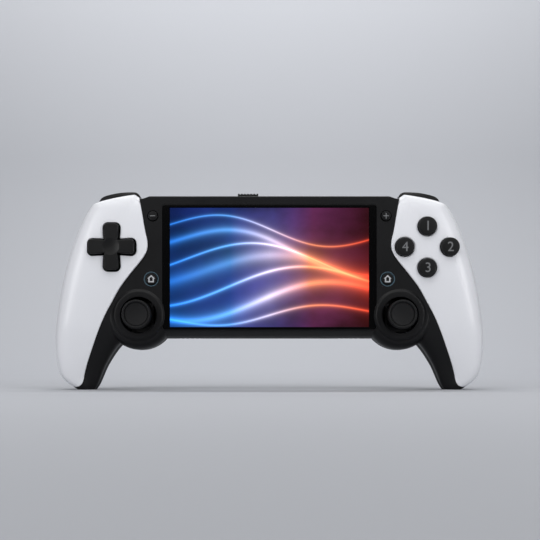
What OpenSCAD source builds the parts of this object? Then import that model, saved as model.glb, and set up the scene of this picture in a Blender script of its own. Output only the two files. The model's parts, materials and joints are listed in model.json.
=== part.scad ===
// Handheld game console, standing upright on its two grip tips.
// All sizes in millimetres. +X is right as seen from the front, +Z is up, the screen looks along -Y.
// Depths are measured back from the flat face of the screen body.

/* [Screen] */
// Width of the lit picture
screen_w = 108; // [104:0.5:110]
// Height of the lit picture
screen_h = 64.8; // [62:0.2:65]
// Height of the picture centre above the table
screen_z = 66.4; // [66:0.1:66.8]
// Border of black glass left and right of the picture
glass_side = 3.8; // [3:0.1:4.2]
// Border of black glass above and below the picture
glass_edge = 1.2; // [1.1:0.05:1.4]

/* [Body] */
// Depth of the flat centre body
body_depth = 20.5; // [20:0.1:22]
// Depth of the seam between front and rear housing
seam_depth = 11; // [10.8:0.1:11.2]
// Wall thickness
wall = 2.2; // [2:0.1:2.4]
// Thickness of the white faceplates
plate_t = 1.8; // [1.6:0.1:2]
// How square the flanks of the wings are
flank = 4; // [3.6:0.1:4.6]
// How square the rear flanks are where the hand holds them
grip_flank = 3.4; // [2.2:0.1:4]

/* [Controls] */
// Side distance of the direction pad and the four buttons
pad_x = 85.1; // [84.6:0.1:85.6]
// Height of the direction pad and the four buttons
pad_z = 77.1; // [76.6:0.1:77.6]
// Tip to tip size of the direction pad
pad_span = 25; // [24.5:0.1:25.5]
// Rocking angle of the direction pad
pad_tilt = 5; // [3:0.5:5]
// Diameter of a face button
button_d = 10; // [9.4:0.1:10.4]
// Sideways offset of the face buttons
button_dx = 12.2; // [12:0.1:12.6]
// Upward offset of the face buttons
button_dz = 11.2; // [11:0.1:11.6]
// Press travel of a face button
button_travel = 1; // [0.6:0.1:1]
// Diameter of the plus and minus buttons
small_d = 5.2; // [4.6:0.1:5.4]
// Diameter of the home buttons
home_d = 6.3; // [5.8:0.1:6.4]

/* [Sticks] */
// Side distance of the sticks
stick_x = 70.7; // [70.4:0.1:71]
// Height of the sticks
stick_z = 40.4; // [40:0.1:40.6]
// Diameter of the thumb cap
cap_d = 15.6; // [15:0.1:16.2]
// How far the thumb cap stands in front of the face
cap_out = 10; // [9.6:0.1:11]
// Depth of the tilt centre
stick_pivot = 11.5; // [11.4:0.1:11.6]
// Diameter of the well around the stick
well_d = 19.5; // [19.3:0.1:20]
// Radius of the round boss behind each stick
boss_r = 18.6; // [18.2:0.1:19]

/* [Hidden] */
// Y of the flat face, so that the whole object is centred front to back
face_y = -14;
// Facets of round cuts in the shells, and of the small hidden ones
$fn = 32;
coarse = 6;
// Glass sheet
glass_w = screen_w + 2 * glass_side;
glass_h = screen_h + 2 * glass_edge;
glass_t = 1.2;
glass_d = 0.1;
ledge_d = glass_d + glass_t;
panel_d = 2.3;
// Display stack
lcd_w = screen_w + 4.4;
lcd_h = screen_h + 2;
gasket_d = panel_d;
lcd_d = gasket_d + 0.5;
lcd_back = lcd_d + 3;
// Boards
key_board_d = 6.4;
main_board_d = 8;
board_t = 1.2;
main_back = main_board_d + board_t;
rear_wall_d = body_depth - wall;
// Slack around moving pieces
slack = 0.3;
// Half width of the direction pad's arms at the middle and near the ends
pad_root = 3.6;
pad_tip = 4;
// Gap round the direction pad: what its corners swing sideways when it rocks both ways, and a little air
pad_gap = 0.12 + 6.1 * sqrt(2) * sin(pad_tilt);
// Depth of a face button's stem end, one travel in front of the rubber sheet
stem_end = 5.7 - button_travel;
// Body edges
body_top = 104.8;
body_low = 28.2;
body_half = 74;
// Shoulder pins
bumper_pin_d = 19.4;
bumper_pin_z = 101.8;
trigger_pin_d = 25.2;
trigger_pin_z = 99.5;
pin_r = 1;
shoulder_in = 68.8;
shoulder_out = 96.6;
// Case screws, right side, as x and z
screw_spots = [[60.3, 72], [103, 50], [101, 17]];
screw_seat = 16;
// Posts that carry the main board and the key boards, right side
main_posts = [[60.3, 54.6], [64.9, 84]];
key_posts = [[93.2, 91], [74, 91.5], [99.5, 64], [78, 63.5]];
// Pegs of the faceplates, right side
peg_spots = [[78, 99], [89, 98.5], [69.5, 88], [102, 80], [70.5, 77], [106, 55], [97, 44], [104, 26]];

// Stations of a wing from the top middle down to the tip.
// Each is inner x, inner z, outer x, outer z, ridge x, ridge z, ridge front depth, ridge back depth.
wing_rows = [
    [76.0, 106.3, 76.0, 106.3, 79.0, 93.0, -0.9, 25.0],
    [71.6, 105.4, 92.8, 102.7, 79.6, 91.5, -1.0, 26.0],
    [62.0, 98.0, 98.5, 98.2, 80.6, 87.0, -1.2, 27.5],
    [55.0, 74.0, 105.7, 83.4, 83.2, 77.0, -1.4, 31.0],
    [60.0, 47.0, 112.1, 62.6, 88.6, 57.0, -0.9, 36.0],
    [71.0, 33.5, 116.3, 38.8, 94.8, 37.0, 0.6, 38.0],
    [81.9, 25.2, 117.2, 24.0, 99.0, 25.0, 2.4, 35.0],
    [89.5, 14.1, 115.0, 9.0, 101.4, 14.0, 4.4, 30.0],
    [95.3, 1.2, 108.2, 1.9, 101.9, 8.5, 5.6, 26.0],
    [100.4, -1.6, 100.4, -1.6, 102.0, 7.0, 6.0, 25.0]
];
// Inner edge of the white plate from the top corner down to the tip, as x and z
plate_edge = [
    [75.0, 112], [71.9, 106.4], [70.0, 102.4], [69.0, 96.8], [67.1, 86.0], [65.8, 79.8], [66.4, 74.6],
    [69.7, 69.4], [75.0, 62.9], [80.6, 55.4], [85.2, 47.3], [89.0, 40.2], [92.4, 32.6], [95.4, 24.9],
    [98.9, 15.3], [100.8, 8.9], [101.6, 5.5], [102.7, 2.9], [104.8, 1.6], [107.6, 1.5], [112, 1.7]
];

// Which node to draw

// Colours
black_abs = "#2b2b2e";
white_abs = "#dcdde2";
dark_rubber = "#1c1d1f";
board_green = "#1d4a2c";
steel = "#b9bcc0";
glass_black = "#08080a";

// Point on a smooth curve through b and c
function curve(a, b, c, d, t) = 0.5 * (2 * b + (c - a) * t
    + (2 * a - 5 * b + 4 * c - d) * t * t
    + (3 * b - 3 * c + d - a) * t * t * t);
// Smooth open curve through the points, with steps spans between each two
function open_curve(p, steps) = let (n = len(p))
    [for (i = [0 : n - 2], k = [0 : steps - 1])
        curve(p[max(i - 1, 0)], p[i], p[i + 1], p[min(i + 2, n - 1)], k / steps)];

// Rim of a wing as a closed ring of x and z, moved inward by inset
wing_n = len(wing_rows) - 1;
rim_ctrl = concat([for (r = wing_rows) [r[0], r[1]]],
    [for (i = [wing_n - 1 : -1 : 1]) [wing_rows[i][2], wing_rows[i][3]]]);
function rim_at(i, t) = let (n = len(rim_ctrl))
    curve(rim_ctrl[(i + n - 1) % n], rim_ctrl[i % n], rim_ctrl[(i + 1) % n], rim_ctrl[(i + 2) % n], t);
function rim_raw(steps) = [for (i = [0 : len(rim_ctrl) - 1], k = [0 : steps - 1]) rim_at(i, k / steps)];
function rim(steps, inset) = let (p = rim_raw(steps), n = len(p))
    [for (i = [0 : n - 1]) let (t = p[(i + 1) % n] - p[(i + n - 1) % n])
        p[i] + inset * [-t[1], t[0]] / norm(t)];
// Ridge of a wing at station u: x, z, front depth, back depth
function ridge_row(i) = let (r = wing_rows[min(max(i, 0), wing_n)]) [r[4], r[5], r[6], r[7]];
function ridge(u) = let (i = min(floor(u), wing_n - 1))
    curve(ridge_row(i - 1), ridge_row(i), ridge_row(i + 1), ridge_row(i + 2), u - i);
// Share of the full depth reached at share k of the way from rim to ridge, for a flank of power p
function crown(k, p) = pow(1 - pow(1 - k, p), 1 / p);
// Power of the rear flank at station u: square behind the keys, rounder in the hand
function rear_flank(u) = let (t = min(max((u - 3.5) / 2.5, 0), 1))
    flank + (grip_flank - flank) * t * t * (3 - 2 * t);

// Extrude a drawing in x and z from depth d0 back to depth d1
module slab(d0, d1) {
    translate([0, face_y + d1, 0])
        rotate([90, 0, 0])
            linear_extrude(d1 - d0)
                children();
}

// Extrude a drawing in depth and z from x0 to x1
module across(x0, x1) {
    translate([x0, face_y, 0])
        rotate([90, 0, 90])
            linear_extrude(x1 - x0)
                children();
}

// Round bar along the depth
module rod(x, z, r, d0, d1) {
    translate([x, face_y + d1, z])
        rotate([90, 0, 0])
            cylinder(r = r, h = d1 - d0);
}

// Round bar along x
module bar_x(d, z, r, x0, x1) {
    translate([x0, face_y + d, z])
        rotate([0, 90, 0])
            cylinder(r = r, h = x1 - x0);
}

// Round bar along z
module bar_z(x, d, r, z0, z1) {
    translate([x, face_y + d, z0])
        cylinder(r = r, h = z1 - z0);
}

// Block between two corners given as x, depth, z
module block(a, b) {
    translate([a[0], face_y + a[1], a[2]])
        cube([b[0] - a[0], b[1] - a[1], b[2] - a[2]]);
}

// Turn a profile of radius and depth about an axis along the depth
module turned(x, z, profile) {
    translate([x, face_y, z])
        rotate([90, 0, 0])
            rotate_extrude()
                polygon([for (p = profile) [p[0], -p[1]]]);
}

// Rectangle with round corners, centred at x, z
module pane(w, h, r, x = 0, z = screen_z) {
    translate([x, z]) {
        square([w - 2 * r, h], center = true);
        square([w, h - 2 * r], center = true);
        for (sx = [-1, 1], sz = [-1, 1])
            translate([sx * (w / 2 - r), sz * (h / 2 - r)])
                circle(r);
    }
}

module left_side() {
    mirror([1, 0, 0])
        children();
}

module both_sides() {
    children();
    left_side()
        children();
}

// Right wing as a closed pillow between rim and ridge
module wing(inset = 0, front_in = 0, back_in = 0, steps = 3, ks = [0.03, 0.13, 0.36, 0.68]) {
    ring = rim(steps, inset);
    n = len(ring);
    half = n / 2;
    us = [for (i = [0 : n - 1]) i <= half ? i / steps : (n - i) / steps];
    levels = concat([for (i = [len(ks) - 1 : -1 : 0]) [ks[i], 0]], [[0, 0]], [for (k = ks) [k, 1]]);
    all_levels = concat([[1, 0]], levels, [[1, 1]]);
    pts = [for (lv = all_levels, i = [0 : n - 1])
        let (g = ridge(us[i]),
            xz = ring[i] + ([g[0], g[1]] - ring[i]) * lv[0],
            deep = lv[1] == 0 ? g[2] + front_in : g[3] - back_in,
            p = lv[1] == 0 ? flank : rear_flank(us[i]),
            d = seam_depth + (deep - seam_depth) * crown(lv[0], p))
        [xz[0], face_y + d, xz[1]]];
    faces = [for (j = [0 : len(all_levels) - 2], i = [0 : n - 1])
        each let (a = j * n + i, b = j * n + (i + 1) % n, c = a + n, d = b + n)
            [[a, b, c], [b, d, c]]];
    polyhedron(points = pts, faces = faces);
}

// Right wing less the thickness of the faceplate, grown by the air left under the plate
module wing_core(air = 0) {
    t = plate_t - air;
    wing(t, t, t, steps = 2, ks = [0.04, 0.2, 0.6]);
}

// Right white zone as a drawing in x and z
module plate_zone(gap = 0) {
    offset(delta = gap)
        polygon(concat(open_curve(plate_edge, 3), [[126, 1.7], [126, 112]]));
}

// Centre body
module centre_body() {
    intersection() {
        across(-body_half, body_half)
            polygon([[0, 32.6], [0.5, 31.9], [2.5, 30.6], [5, 29.1], [8, body_low], [15, body_low],
                [18, 30], [20, 32.6], [body_depth, 35], [body_depth, 99], [19.6, 102], [18, 103.8],
                [15.5, body_top], [0.8, body_top], [0, 104]]);
        slab(-1, 30)
            polygon([[-body_half, 102.4], [-68.3, 103.4], [-61, 106], [61, 106], [68.3, 103.4],
                [body_half, 102.4], [body_half, 20], [-body_half, 20]]);
    }
}

// Round boss behind the right stick
module boss() {
    front_arc = [for (a = [0 : 22.5 : 90]) [14.6 + (boss_r - 14.6) * sin(a), 7 - 7 * cos(a)]];
    back_arc = [for (a = [0 : 22.5 : 90]) [boss_r - 5 + 5 * cos(a), body_depth - 6 + 6 * sin(a)]];
    turned(stick_x, stick_z, concat([[0, 0]], front_arc, back_arc, [[0, body_depth]]));
}

// Outside of both housings together
module envelope() {
    centre_body();
    both_sides() {
        wing();
        boss();
    }
}

// Pocket for bumper and trigger as a drawing in depth and z, grown by g
module shoulder_profile(g = 0) {
    polygon([[9.9 - g, 116], [9.9 - g, 97.2 - g], [17 - g, 97.2 - g], [17 - g, 94 - g],
        [23 - g / 2, 94 - g], [26.5 - g, 81 - g], [48, 81 - g], [48, 116]]);
}

// Right pocket for bumper and trigger
module shoulder_pocket(g = 0) {
    across(shoulder_in - g, shoulder_out + g)
        shoulder_profile(g);
}

// Hollow of the housings
module hollow() {
    across(2 - body_half, body_half - 2)
        polygon([[panel_d, 32.6], [5, 31.4], [8, body_low + wall], [15, body_low + wall], [17, 32.6],
            [rear_wall_d, 36], [rear_wall_d, 98], [17, 101.4], [14.8, body_top - wall],
            [panel_d, body_top - wall]]);
    both_sides()
        difference() {
            union() {
                wing(3.2, plate_t + 1.6, wall, steps = 1, ks = [0.06, 0.25, 0.6]);
                rod(stick_x, stick_z, boss_r - 2.2, panel_d + 0.4, rear_wall_d - 0.4);
            }
            shoulder_pocket(1.8);
        }
}

// Seat of the right faceplate
module plate_seat() {
    difference() {
        slab(-6, 10.4)
            plate_zone(0.2);
        wing_core();
    }
}

// Outline of the direction pad grown by g
module cross(g = 0) {
    for (a = [0 : 90 : 270])
        rotate(a) {
            polygon([[-pad_root - g, 0], [-pad_tip - g, pad_span / 2 - 2], [pad_tip + g, pad_span / 2 - 2],
                [pad_root + g, 0]]);
            translate([0, pad_span / 2 - 1])
                square([2 * pad_tip - 4, 2 + 2 * g], center = true);
            for (s = [-1, 1])
                translate([s * (pad_tip - 2), pad_span / 2 - 2])
                    circle(2 + g);
        }
}

// Places of the face buttons, right side
button_spots = [[pad_x, pad_z + button_dz], [pad_x + button_dx, pad_z], [pad_x, pad_z - button_dz],
    [pad_x - button_dx, pad_z]];
small_spot = [63, 94];
home_spot = [63.85, 59.9];
slider_x = -11.6;
usb_d = 10.9;
jack_x = 30;
jack_d = 11.9;
jack_r = 1.78;
card_x = -30;
speaker_x = 44;

// Cuts of the ports in the bottom of both housings
module port_cuts() {
    translate([0, 0, 25])
        linear_extrude(9)
            translate([0, face_y + usb_d])
                pane(9.5, 3.7, 1.6, z = 0);
    bar_z(jack_x, jack_d, 2.9, 25, 33, $fn = 2 * coarse);
    block([card_x - 6.8, 9.1, 25], [card_x + 6.8, 11.1, 34]);
}

// Tapered post from depth d0 to the flat end at d1
module post(x, z, r, d0, d1) {
    hull() {
        rod(x, z, r + 0.7, d0, d0 + 0.2, $fn = coarse);
        rod(x, z, r, d1 - 0.2, d1, $fn = coarse);
    }
}

module front_housing() {
    color(black_abs)
        difference() {
            union() {
                difference() {
                    intersection() {
                        envelope();
                        block([-130, 0, 0], [130, seam_depth, 120]);
                    }
                    hollow();
                    both_sides() {
                        plate_seat();
                        shoulder_pocket();
                    }
                }
                both_sides() {
                    for (p = main_posts)
                        post(p[0], p[1], 1.8, 1.9, main_board_d);
                    for (p = key_posts)
                        post(p[0], p[1], 1.8, 2, key_board_d);
                    for (p = screw_spots)
                        intersection() {
                            post(p[0], p[1], 2.6, 1.9, seam_depth);
                            wing(plate_t + 0.2, plate_t + 0.2, wall);
                        }
                }
            }
            slab(-3, ledge_d)
                pane(glass_w + 0.3, glass_h + 0.3, 1.5);
            slab(-3, panel_d + 1)
                pane(screen_w + 0.8, screen_h + 0.6, 0.8);
            rod(-pad_x, pad_z, 14.8, -3, 5);
            for (p = button_spots) {
                rod(p[0], p[1], button_d / 2 + slack, -3, 5);
                rod(p[0], p[1], button_d / 2 + 0.9, 3.15, 8);
            }
            both_sides() {
                rod(stick_x, stick_z, 12.42, -3, 5);
                rod(small_spot[0], small_spot[1], small_d / 2 + 0.2, -3, 5);
                rod(home_spot[0], home_spot[1], home_d / 2 + 0.25, -3, 5);
                rod(home_spot[0], home_spot[1], 4.08, -3, 1.2);
                for (p = peg_spots)
                    rod(p[0], p[1], 1.25, -3, 7, $fn = coarse);
                for (p = screw_spots)
                    rod(p[0], p[1], 1.2, 5, 12, $fn = coarse);
                for (p = main_posts)
                    rod(p[0], p[1], 0.9, 4, 9, $fn = coarse);
            }
            block([slider_x - 3.4, 4.1, 101], [slider_x + 6.4, 6.5, 107]);
            port_cuts();
        }
}

module rear_housing() {
    color(black_abs)
        difference() {
            union() {
                difference() {
                    intersection() {
                        envelope();
                        block([-130, seam_depth, 0], [130, 60, 120]);
                    }
                    hollow();
                    both_sides()
                        shoulder_pocket();
                }
                both_sides() {
                    intersection() {
                        union() {
                            for (p = screw_spots)
                                rod(p[0], p[1], 4.2, seam_depth + 0.1, 45, $fn = 2 * coarse);
                            rod(stick_x, stick_z, 8.6, 17, 20, $fn = 2 * coarse);
                        }
                        envelope();
                    }
                }
            }
            both_sides() {
                rod(stick_x, stick_z, 5.5, 16, body_depth - 1, $fn = 2 * coarse);
                for (p = screw_spots) {
                    rod(p[0], p[1], 2.7, screw_seat, 50, $fn = 2 * coarse);
                    rod(p[0], p[1], 1.25, 10, 20, $fn = coarse);
                }
                // Sound slots in the underside
                for (i = [-2 : 2])
                    hull() {
                        bar_z(speaker_x + 2.6 * i, 13, 0.6, 26, 31.2, $fn = coarse);
                        bar_z(speaker_x + 2.6 * i, 15.4, 0.6, 26, 31.2, $fn = coarse);
                    }
            }
            // Cooling slots high on the back
            for (i = [-4 : 4])
                hull() {
                    rod(5 * i, 95.4, 0.8, 16, 24, $fn = coarse);
                    rod(5 * i, 98.6, 0.8, 16, 24, $fn = coarse);
                }
            port_cuts();
        }
}

// Right faceplate without its control openings
module faceplate_blank() {
    difference() {
        intersection() {
            wing();
            slab(-6, 10.4)
                plate_zone();
        }
        wing_core(0.05);
    }
    intersection() {
        for (p = peg_spots)
            hull() {
                rod(p[0], p[1], 1.15, -2, 2, $fn = coarse);
                rod(p[0], p[1], 0.9, 2, 3, $fn = coarse);
            }
        wing(0.6, 0.6, 0.6);
    }
}

module left_faceplate() {
    color(white_abs)
        difference() {
            left_side()
                faceplate_blank();
            slab(-6, 4)
                translate([-pad_x, pad_z])
                    cross(pad_gap);
        }
}

module right_faceplate() {
    color(white_abs)
        difference() {
            faceplate_blank();
            for (p = button_spots)
                rod(p[0], p[1], button_d / 2 + slack, -6, 4);
        }
}

module screen_glass() {
    color(glass_black)
        slab(glass_d, ledge_d)
            pane(glass_w, glass_h, 1.4);
}

module lcd_gasket() {
    color(dark_rubber)
        slab(gasket_d, lcd_d)
            difference() {
                pane(lcd_w, lcd_h, 0.6);
                pane(screen_w + 1.2, screen_h + 0.8, 0.5);
            }
}

module lcd_panel() {
    color("#26303c")
        slab(lcd_d, lcd_back)
            pane(lcd_w, lcd_h, 0.6);
}

module main_board() {
    color(board_green)
        difference() {
            slab(main_board_d, main_back) {
                translate([-57.4, 31.4])
                    square([114.8, 69]);
                translate([-68, 53])
                    square([136, 47.4]);
            }
            both_sides() {
                for (p = main_posts)
                    rod(p[0], p[1], 0.9, 7, 10);
                rod(screw_spots[0][0], screw_spots[0][1], 4.6, 7, 10);
            }
        }
}

module chip_shield() {
    color(steel)
        difference() {
            block([-22, main_back, 52], [22, main_back + 2.4, 86]);
            block([-21.7, main_back - 1, 52.3], [21.7, main_back + 2.1, 85.7]);
        }
}

module battery() {
    color("#3a3d42")
        slab(rear_wall_d - 5.2, rear_wall_d)
            pane(90, 47, 2, z = 68);
}

module key_board() {
    difference() {
        slab(key_board_d, key_board_d + board_t)
            polygon([[70.2, 94.5], [92.4, 94.5], [98.2, 87.4], [102.4, 76], [104, 60.5], [74, 60.5],
                [70.2, 66]]);
        for (p = key_posts)
            rod(p[0], p[1], 0.8, 6, 8);
    }
}

module left_key_board() {
    color(board_green)
        left_side()
            key_board();
}

module right_key_board() {
    color(board_green)
        key_board();
}

// Depth of the direction pad rocking centre
pad_pivot = 4.7;
// Distance of the rocker bearings from that centre
ear = 3.4;

module dpad() {
    color(dark_rubber)
        difference() {
            union() {
                slab(-3.9, 2.6)
                    translate([-pad_x, pad_z])
                        cross();
                rod(-pad_x, pad_z, 11.2, 2.6, 3.8);
                for (s = [-1, 1])
                    block([-pad_x - 1.2, 3, pad_z + s * ear - 0.5],
                        [-pad_x + 1.2, 5.35, pad_z + s * ear + 0.5]);
            }
            // Shallow thumb dish in the middle
            translate([-pad_x, face_y - 3.9 - 17.4, pad_z])
                sphere(r = 18);
            // Relief over the rocker
            difference() {
                rod(-pad_x, pad_z, 5, 3.2, 4);
                for (s = [-1, 1])
                    block([-pad_x - 1.2, 3, pad_z + s * ear - 0.5],
                        [-pad_x + 1.2, 5, pad_z + s * ear + 0.5]);
            }
            bar_z(-pad_x, pad_pivot, 0.5, pad_z - 4.4, pad_z + 4.4);
        }
}

module dpad_rocker() {
    color(steel) {
        rod(-pad_x, pad_z, 2.4, pad_pivot - 0.5, pad_pivot + 0.5);
        bar_x(pad_pivot, pad_z, 0.45, -pad_x - 4, -pad_x + 4);
        bar_z(-pad_x, pad_pivot, 0.45, pad_z - 4, pad_z + 4);
    }
}

module dpad_stand() {
    color(dark_rubber)
        difference() {
            union() {
                rod(-pad_x, pad_z, 5, 5.9, key_board_d);
                for (s = [-1, 1])
                    block([-pad_x + s * ear - 0.5, 4.05, pad_z - 1.2],
                        [-pad_x + s * ear + 0.5, 6, pad_z + 1.2]);
            }
            bar_x(pad_pivot, pad_z, 0.5, -pad_x - 5, -pad_x + 5);
        }
}

module dpad_membrane() {
    color("#6c7075")
        difference() {
            union() {
                rod(-pad_x, pad_z, 11.4, 5.8, key_board_d);
                for (a = [0 : 90 : 270])
                    turned(-pad_x + 8.4 * cos(a), pad_z + 8.4 * sin(a),
                        [[0, 3.8], [1.8, 3.8], [2.6, 5.9], [0, 5.9]]);
            }
            rod(-pad_x, pad_z, 5.5, 5, 7);
        }
}

module face_button(p) {
    r = button_d / 2;
    dome = [for (a = [0 : 15 : 90]) [r - 0.8 + 0.8 * sin(a), -2.6 - 0.8 * cos(a)]];
    color(dark_rubber)
        turned(p[0], p[1], concat([[0, -3.7]], dome,
            [[r, 3.3], [r + 0.7, 3.3], [r + 0.7, 4.1], [3.2, 4.1], [3.2, stem_end], [0, stem_end]]));
}

module button_north() {
    face_button(button_spots[0]);
}

module button_east() {
    face_button(button_spots[1]);
}

module button_south() {
    face_button(button_spots[2]);
}

module button_west() {
    face_button(button_spots[3]);
}

module button_membrane() {
    color("#6c7075") {
        slab(5.8, key_board_d)
            for (a = [0, 90])
                translate([pad_x, pad_z])
                    rotate(a)
                        square([32, 8], center = true);
        for (p = button_spots)
            turned(p[0], p[1], [[0, stem_end], [2.4, stem_end], [4.2, 5.9], [0, 5.9]]);
    }
}

module small_button(x, z, r, front) {
    color(dark_rubber)
        turned(x, z, [[0, front], [r - 0.3, front], [r, front + 0.3], [r, 2.6], [r + 0.9, 2.6],
            [r + 0.9, 3.4], [1.2, 3.4], [1.2, 4.6], [0, 4.6]]);
}

module minus_button() {
    small_button(-small_spot[0], small_spot[1], small_d / 2, -0.7);
}

module plus_button() {
    small_button(small_spot[0], small_spot[1], small_d / 2, -0.7);
}

module left_home_button() {
    small_button(-home_spot[0], home_spot[1], home_d / 2, -0.35);
}

module right_home_button() {
    small_button(home_spot[0], home_spot[1], home_d / 2, -0.35);
}

module home_ring(s) {
    r = home_d / 2 + 0.25;
    color("#7f93a6")
        turned(s * home_spot[0], home_spot[1], [[r, -0.1], [4, -0.1], [4, 1.2], [r, 1.2]]);
}

module left_home_ring() {
    home_ring(-1);
}

module right_home_ring() {
    home_ring(1);
}

module key_switches() {
    color(steel)
        for (s = [-1, 1], p = [small_spot, home_spot]) {
            slab(5.5, main_board_d)
                pane(4.2, 4.2, 0.3, s * p[0], p[1]);
            rod(s * p[0], p[1], 1, 5, 5.6);
        }
}

module stick_collar(s) {
    r = well_d / 2;
    color(black_abs)
        turned(s * stick_x, stick_z, [[r, panel_d], [r, -0.7], [r + 0.3, -1], [12.6, -1], [13, -0.85],
            [14.2, 0], [12.3, 0], [12.3, panel_d]]);
}

module left_stick_collar() {
    stick_collar(-1);
}

module right_stick_collar() {
    stick_collar(1);
}

module stick_module() {
    x = stick_x;
    z = stick_z;
    difference() {
        union() {
            block([x - 7, 8.3, z - 7], [x + 7, 16.2, z + 7]);
            block([x - 9, 16, z - 9], [x + 9, 17, z + 9]);
            block([x + 6.8, 9, z - 5], [x + 9, 16.2, z + 5]);
            block([x - 5, 9, z - 9], [x + 5, 16.2, z - 6.8]);
        }
        block([x - 5.7, 8, z - 5.7], [x + 5.7, 15, z + 5.7]);
        bar_x(stick_pivot, z, 0.95, x - 8, x + 8);
    }
}

module left_stick_module() {
    color("#4a4c50")
        left_side()
            stick_module();
}

module right_stick_module() {
    color("#4a4c50")
        stick_module();
}

module stick_yoke(x) {
    color(steel)
        difference() {
            union() {
                block([x - 4.9, stick_pivot - 1.6, stick_z - 4.9],
                    [x + 4.9, stick_pivot + 1.6, stick_z + 4.9]);
                bar_x(stick_pivot, stick_z, 0.9, x - 6.8, x + 6.8);
            }
            block([x - 3.5, stick_pivot - 2, stick_z - 3.5], [x + 3.5, stick_pivot + 2, stick_z + 3.5]);
            bar_z(x, stick_pivot, 0.85, stick_z - 6, stick_z + 6);
        }
}

module left_stick_yoke() {
    stick_yoke(-stick_x);
}

module right_stick_yoke() {
    stick_yoke(stick_x);
}

module stick_pivot_block(x) {
    color(steel)
        difference() {
            union() {
                block([x - 2.6, stick_pivot - 1.5, stick_z - 2.6],
                    [x + 2.6, stick_pivot + 1.5, stick_z + 2.6]);
                bar_z(x, stick_pivot, 0.8, stick_z - 4.8, stick_z + 4.8);
            }
            rod(x, stick_z, 1.66, stick_pivot - 3, stick_pivot + 3);
        }
}

module left_stick_pivot() {
    stick_pivot_block(-stick_x);
}

module right_stick_pivot() {
    stick_pivot_block(stick_x);
}

module stick_shaft(x) {
    color(steel)
        rod(x, stick_z, 1.6, 4 - cap_out, stick_pivot + 2.6);
}

module left_stick_shaft() {
    stick_shaft(-stick_x);
}

module right_stick_shaft() {
    stick_shaft(stick_x);
}

// Thumb cap with neck and dust dome
module stick_cap(x) {
    r = cap_d / 2;
    f = -cap_out;
    dome_r = 10.5;
    dome = [for (a = [24 : 5.5 : 46]) [dome_r * sin(a), stick_pivot - dome_r * cos(a)]];
    under = [for (a = [46 : -7 : 25]) [(dome_r - 1) * sin(a), stick_pivot - (dome_r - 1) * cos(a)]];
    dish = [for (a = [0 : 15 : 90]) [5.6 * a / 90, f + 1.5 - 0.9 * (1 - cos(a))]];
    rim_arc = [for (a = [-60 : 30 : 90]) [r - 0.9 + 0.9 * sin(a), f + 0.9 - 0.9 * cos(a)]];
    color(dark_rubber)
        turned(x, stick_z, concat(dish, rim_arc, [[r, f + 3.4], [r - 0.5, f + 3.9], [3.6, f + 4.6],
            [3.2, f + 6.5], [3.3, 0.4]], dome, under, [[1.6, 3.2], [1.6, f + 4], [0, f + 4]]));
}

module left_stick_cap() {
    stick_cap(-stick_x);
}

module right_stick_cap() {
    stick_cap(stick_x);
}

// Right bumper
module bumper() {
    difference() {
        union() {
            intersection() {
                across(71.2, 94.2)
                    polygon([[10.4, 98.2], [10.9, 107], [11.2, 108.2], [12, 109], [13.2, 109.2], [17, 107.8],
                        [20, 105.6], [21.2, 103.8], [21.2, 100.2], [20.4, 99], [17.5, 99], [17.5, 100.6],
                        [13.4, 100.6], [13.4, 98.2]]);
                slab(8, 24)
                    polygon(concat([[71.2, 96], [71.2, 105.6]],
                        open_curve([[71.2, 105.6], [71.7, 107.2], [73.1, 108.5], [75.4, 109.2],
                            [82.2, 108.7], [90, 106.9], [93, 105.1], [94.2, 102.4]], 4),
                        [[94.2, 96]]));
            }
            // Skirts that close the pocket in front of the bracket
            block([shoulder_in + 0.5, 11, 98.2], [72, 16.4, 103.8]);
            block([93.4, 11, 98.2], [shoulder_out - 0.5, 16.4, 101.4]);
        }
        bar_x(bumper_pin_d, bumper_pin_z, pin_r + 0.05, 60, 100);
        block([76, 14.6, 96], [89, 24, 103.8]);
    }
}

module left_bumper() {
    color(dark_rubber)
        left_side()
            bumper();
}

module right_bumper() {
    color(dark_rubber)
        bumper();
}

// Right trigger
module trigger() {
    outer = open_curve([[22.4, 103.4], [24, 104.5], [29.5, 104.4], [35.2, 99.4], [37.6, 91.5],
        [37.4, 84]], 4);
    inner = open_curve([[35.4, 84], [35.3, 91.2], [33.2, 98], [28.9, 102], [24.4, 102.3],
        [22.4, 101.8]], 4);
    difference() {
        union() {
            difference() {
                across(shoulder_in + 0.5, shoulder_out - 0.5)
                    polygon(concat(outer, [[37.4, 84], [36.4, 83.4]], inner, [[22.4, 101.8]]));
                // Room for the bracket beside the hinge
                block([68, 20, 96], [71.4, 28.6, 106]);
                block([94, 20, 96], [98, 28.6, 106]);
            }
            for (x = [71.4, 90.4]) {
                bar_x(trigger_pin_d, trigger_pin_z, 2.2, x, x + 3.6);
                across(x, x + 3.6)
                    polygon([[23.2, 99.6], [23.2, 102.4], [29, 102.6], [33.4, 98.6], [34.4, 95],
                        [27.2, 98.8]]);
            }
        }
        bar_x(trigger_pin_d, trigger_pin_z, pin_r + 0.05, 60, 100);
    }
}

module left_trigger() {
    color(dark_rubber)
        left_side()
            trigger();
}

module right_trigger() {
    color(dark_rubber)
        trigger();
}

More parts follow.
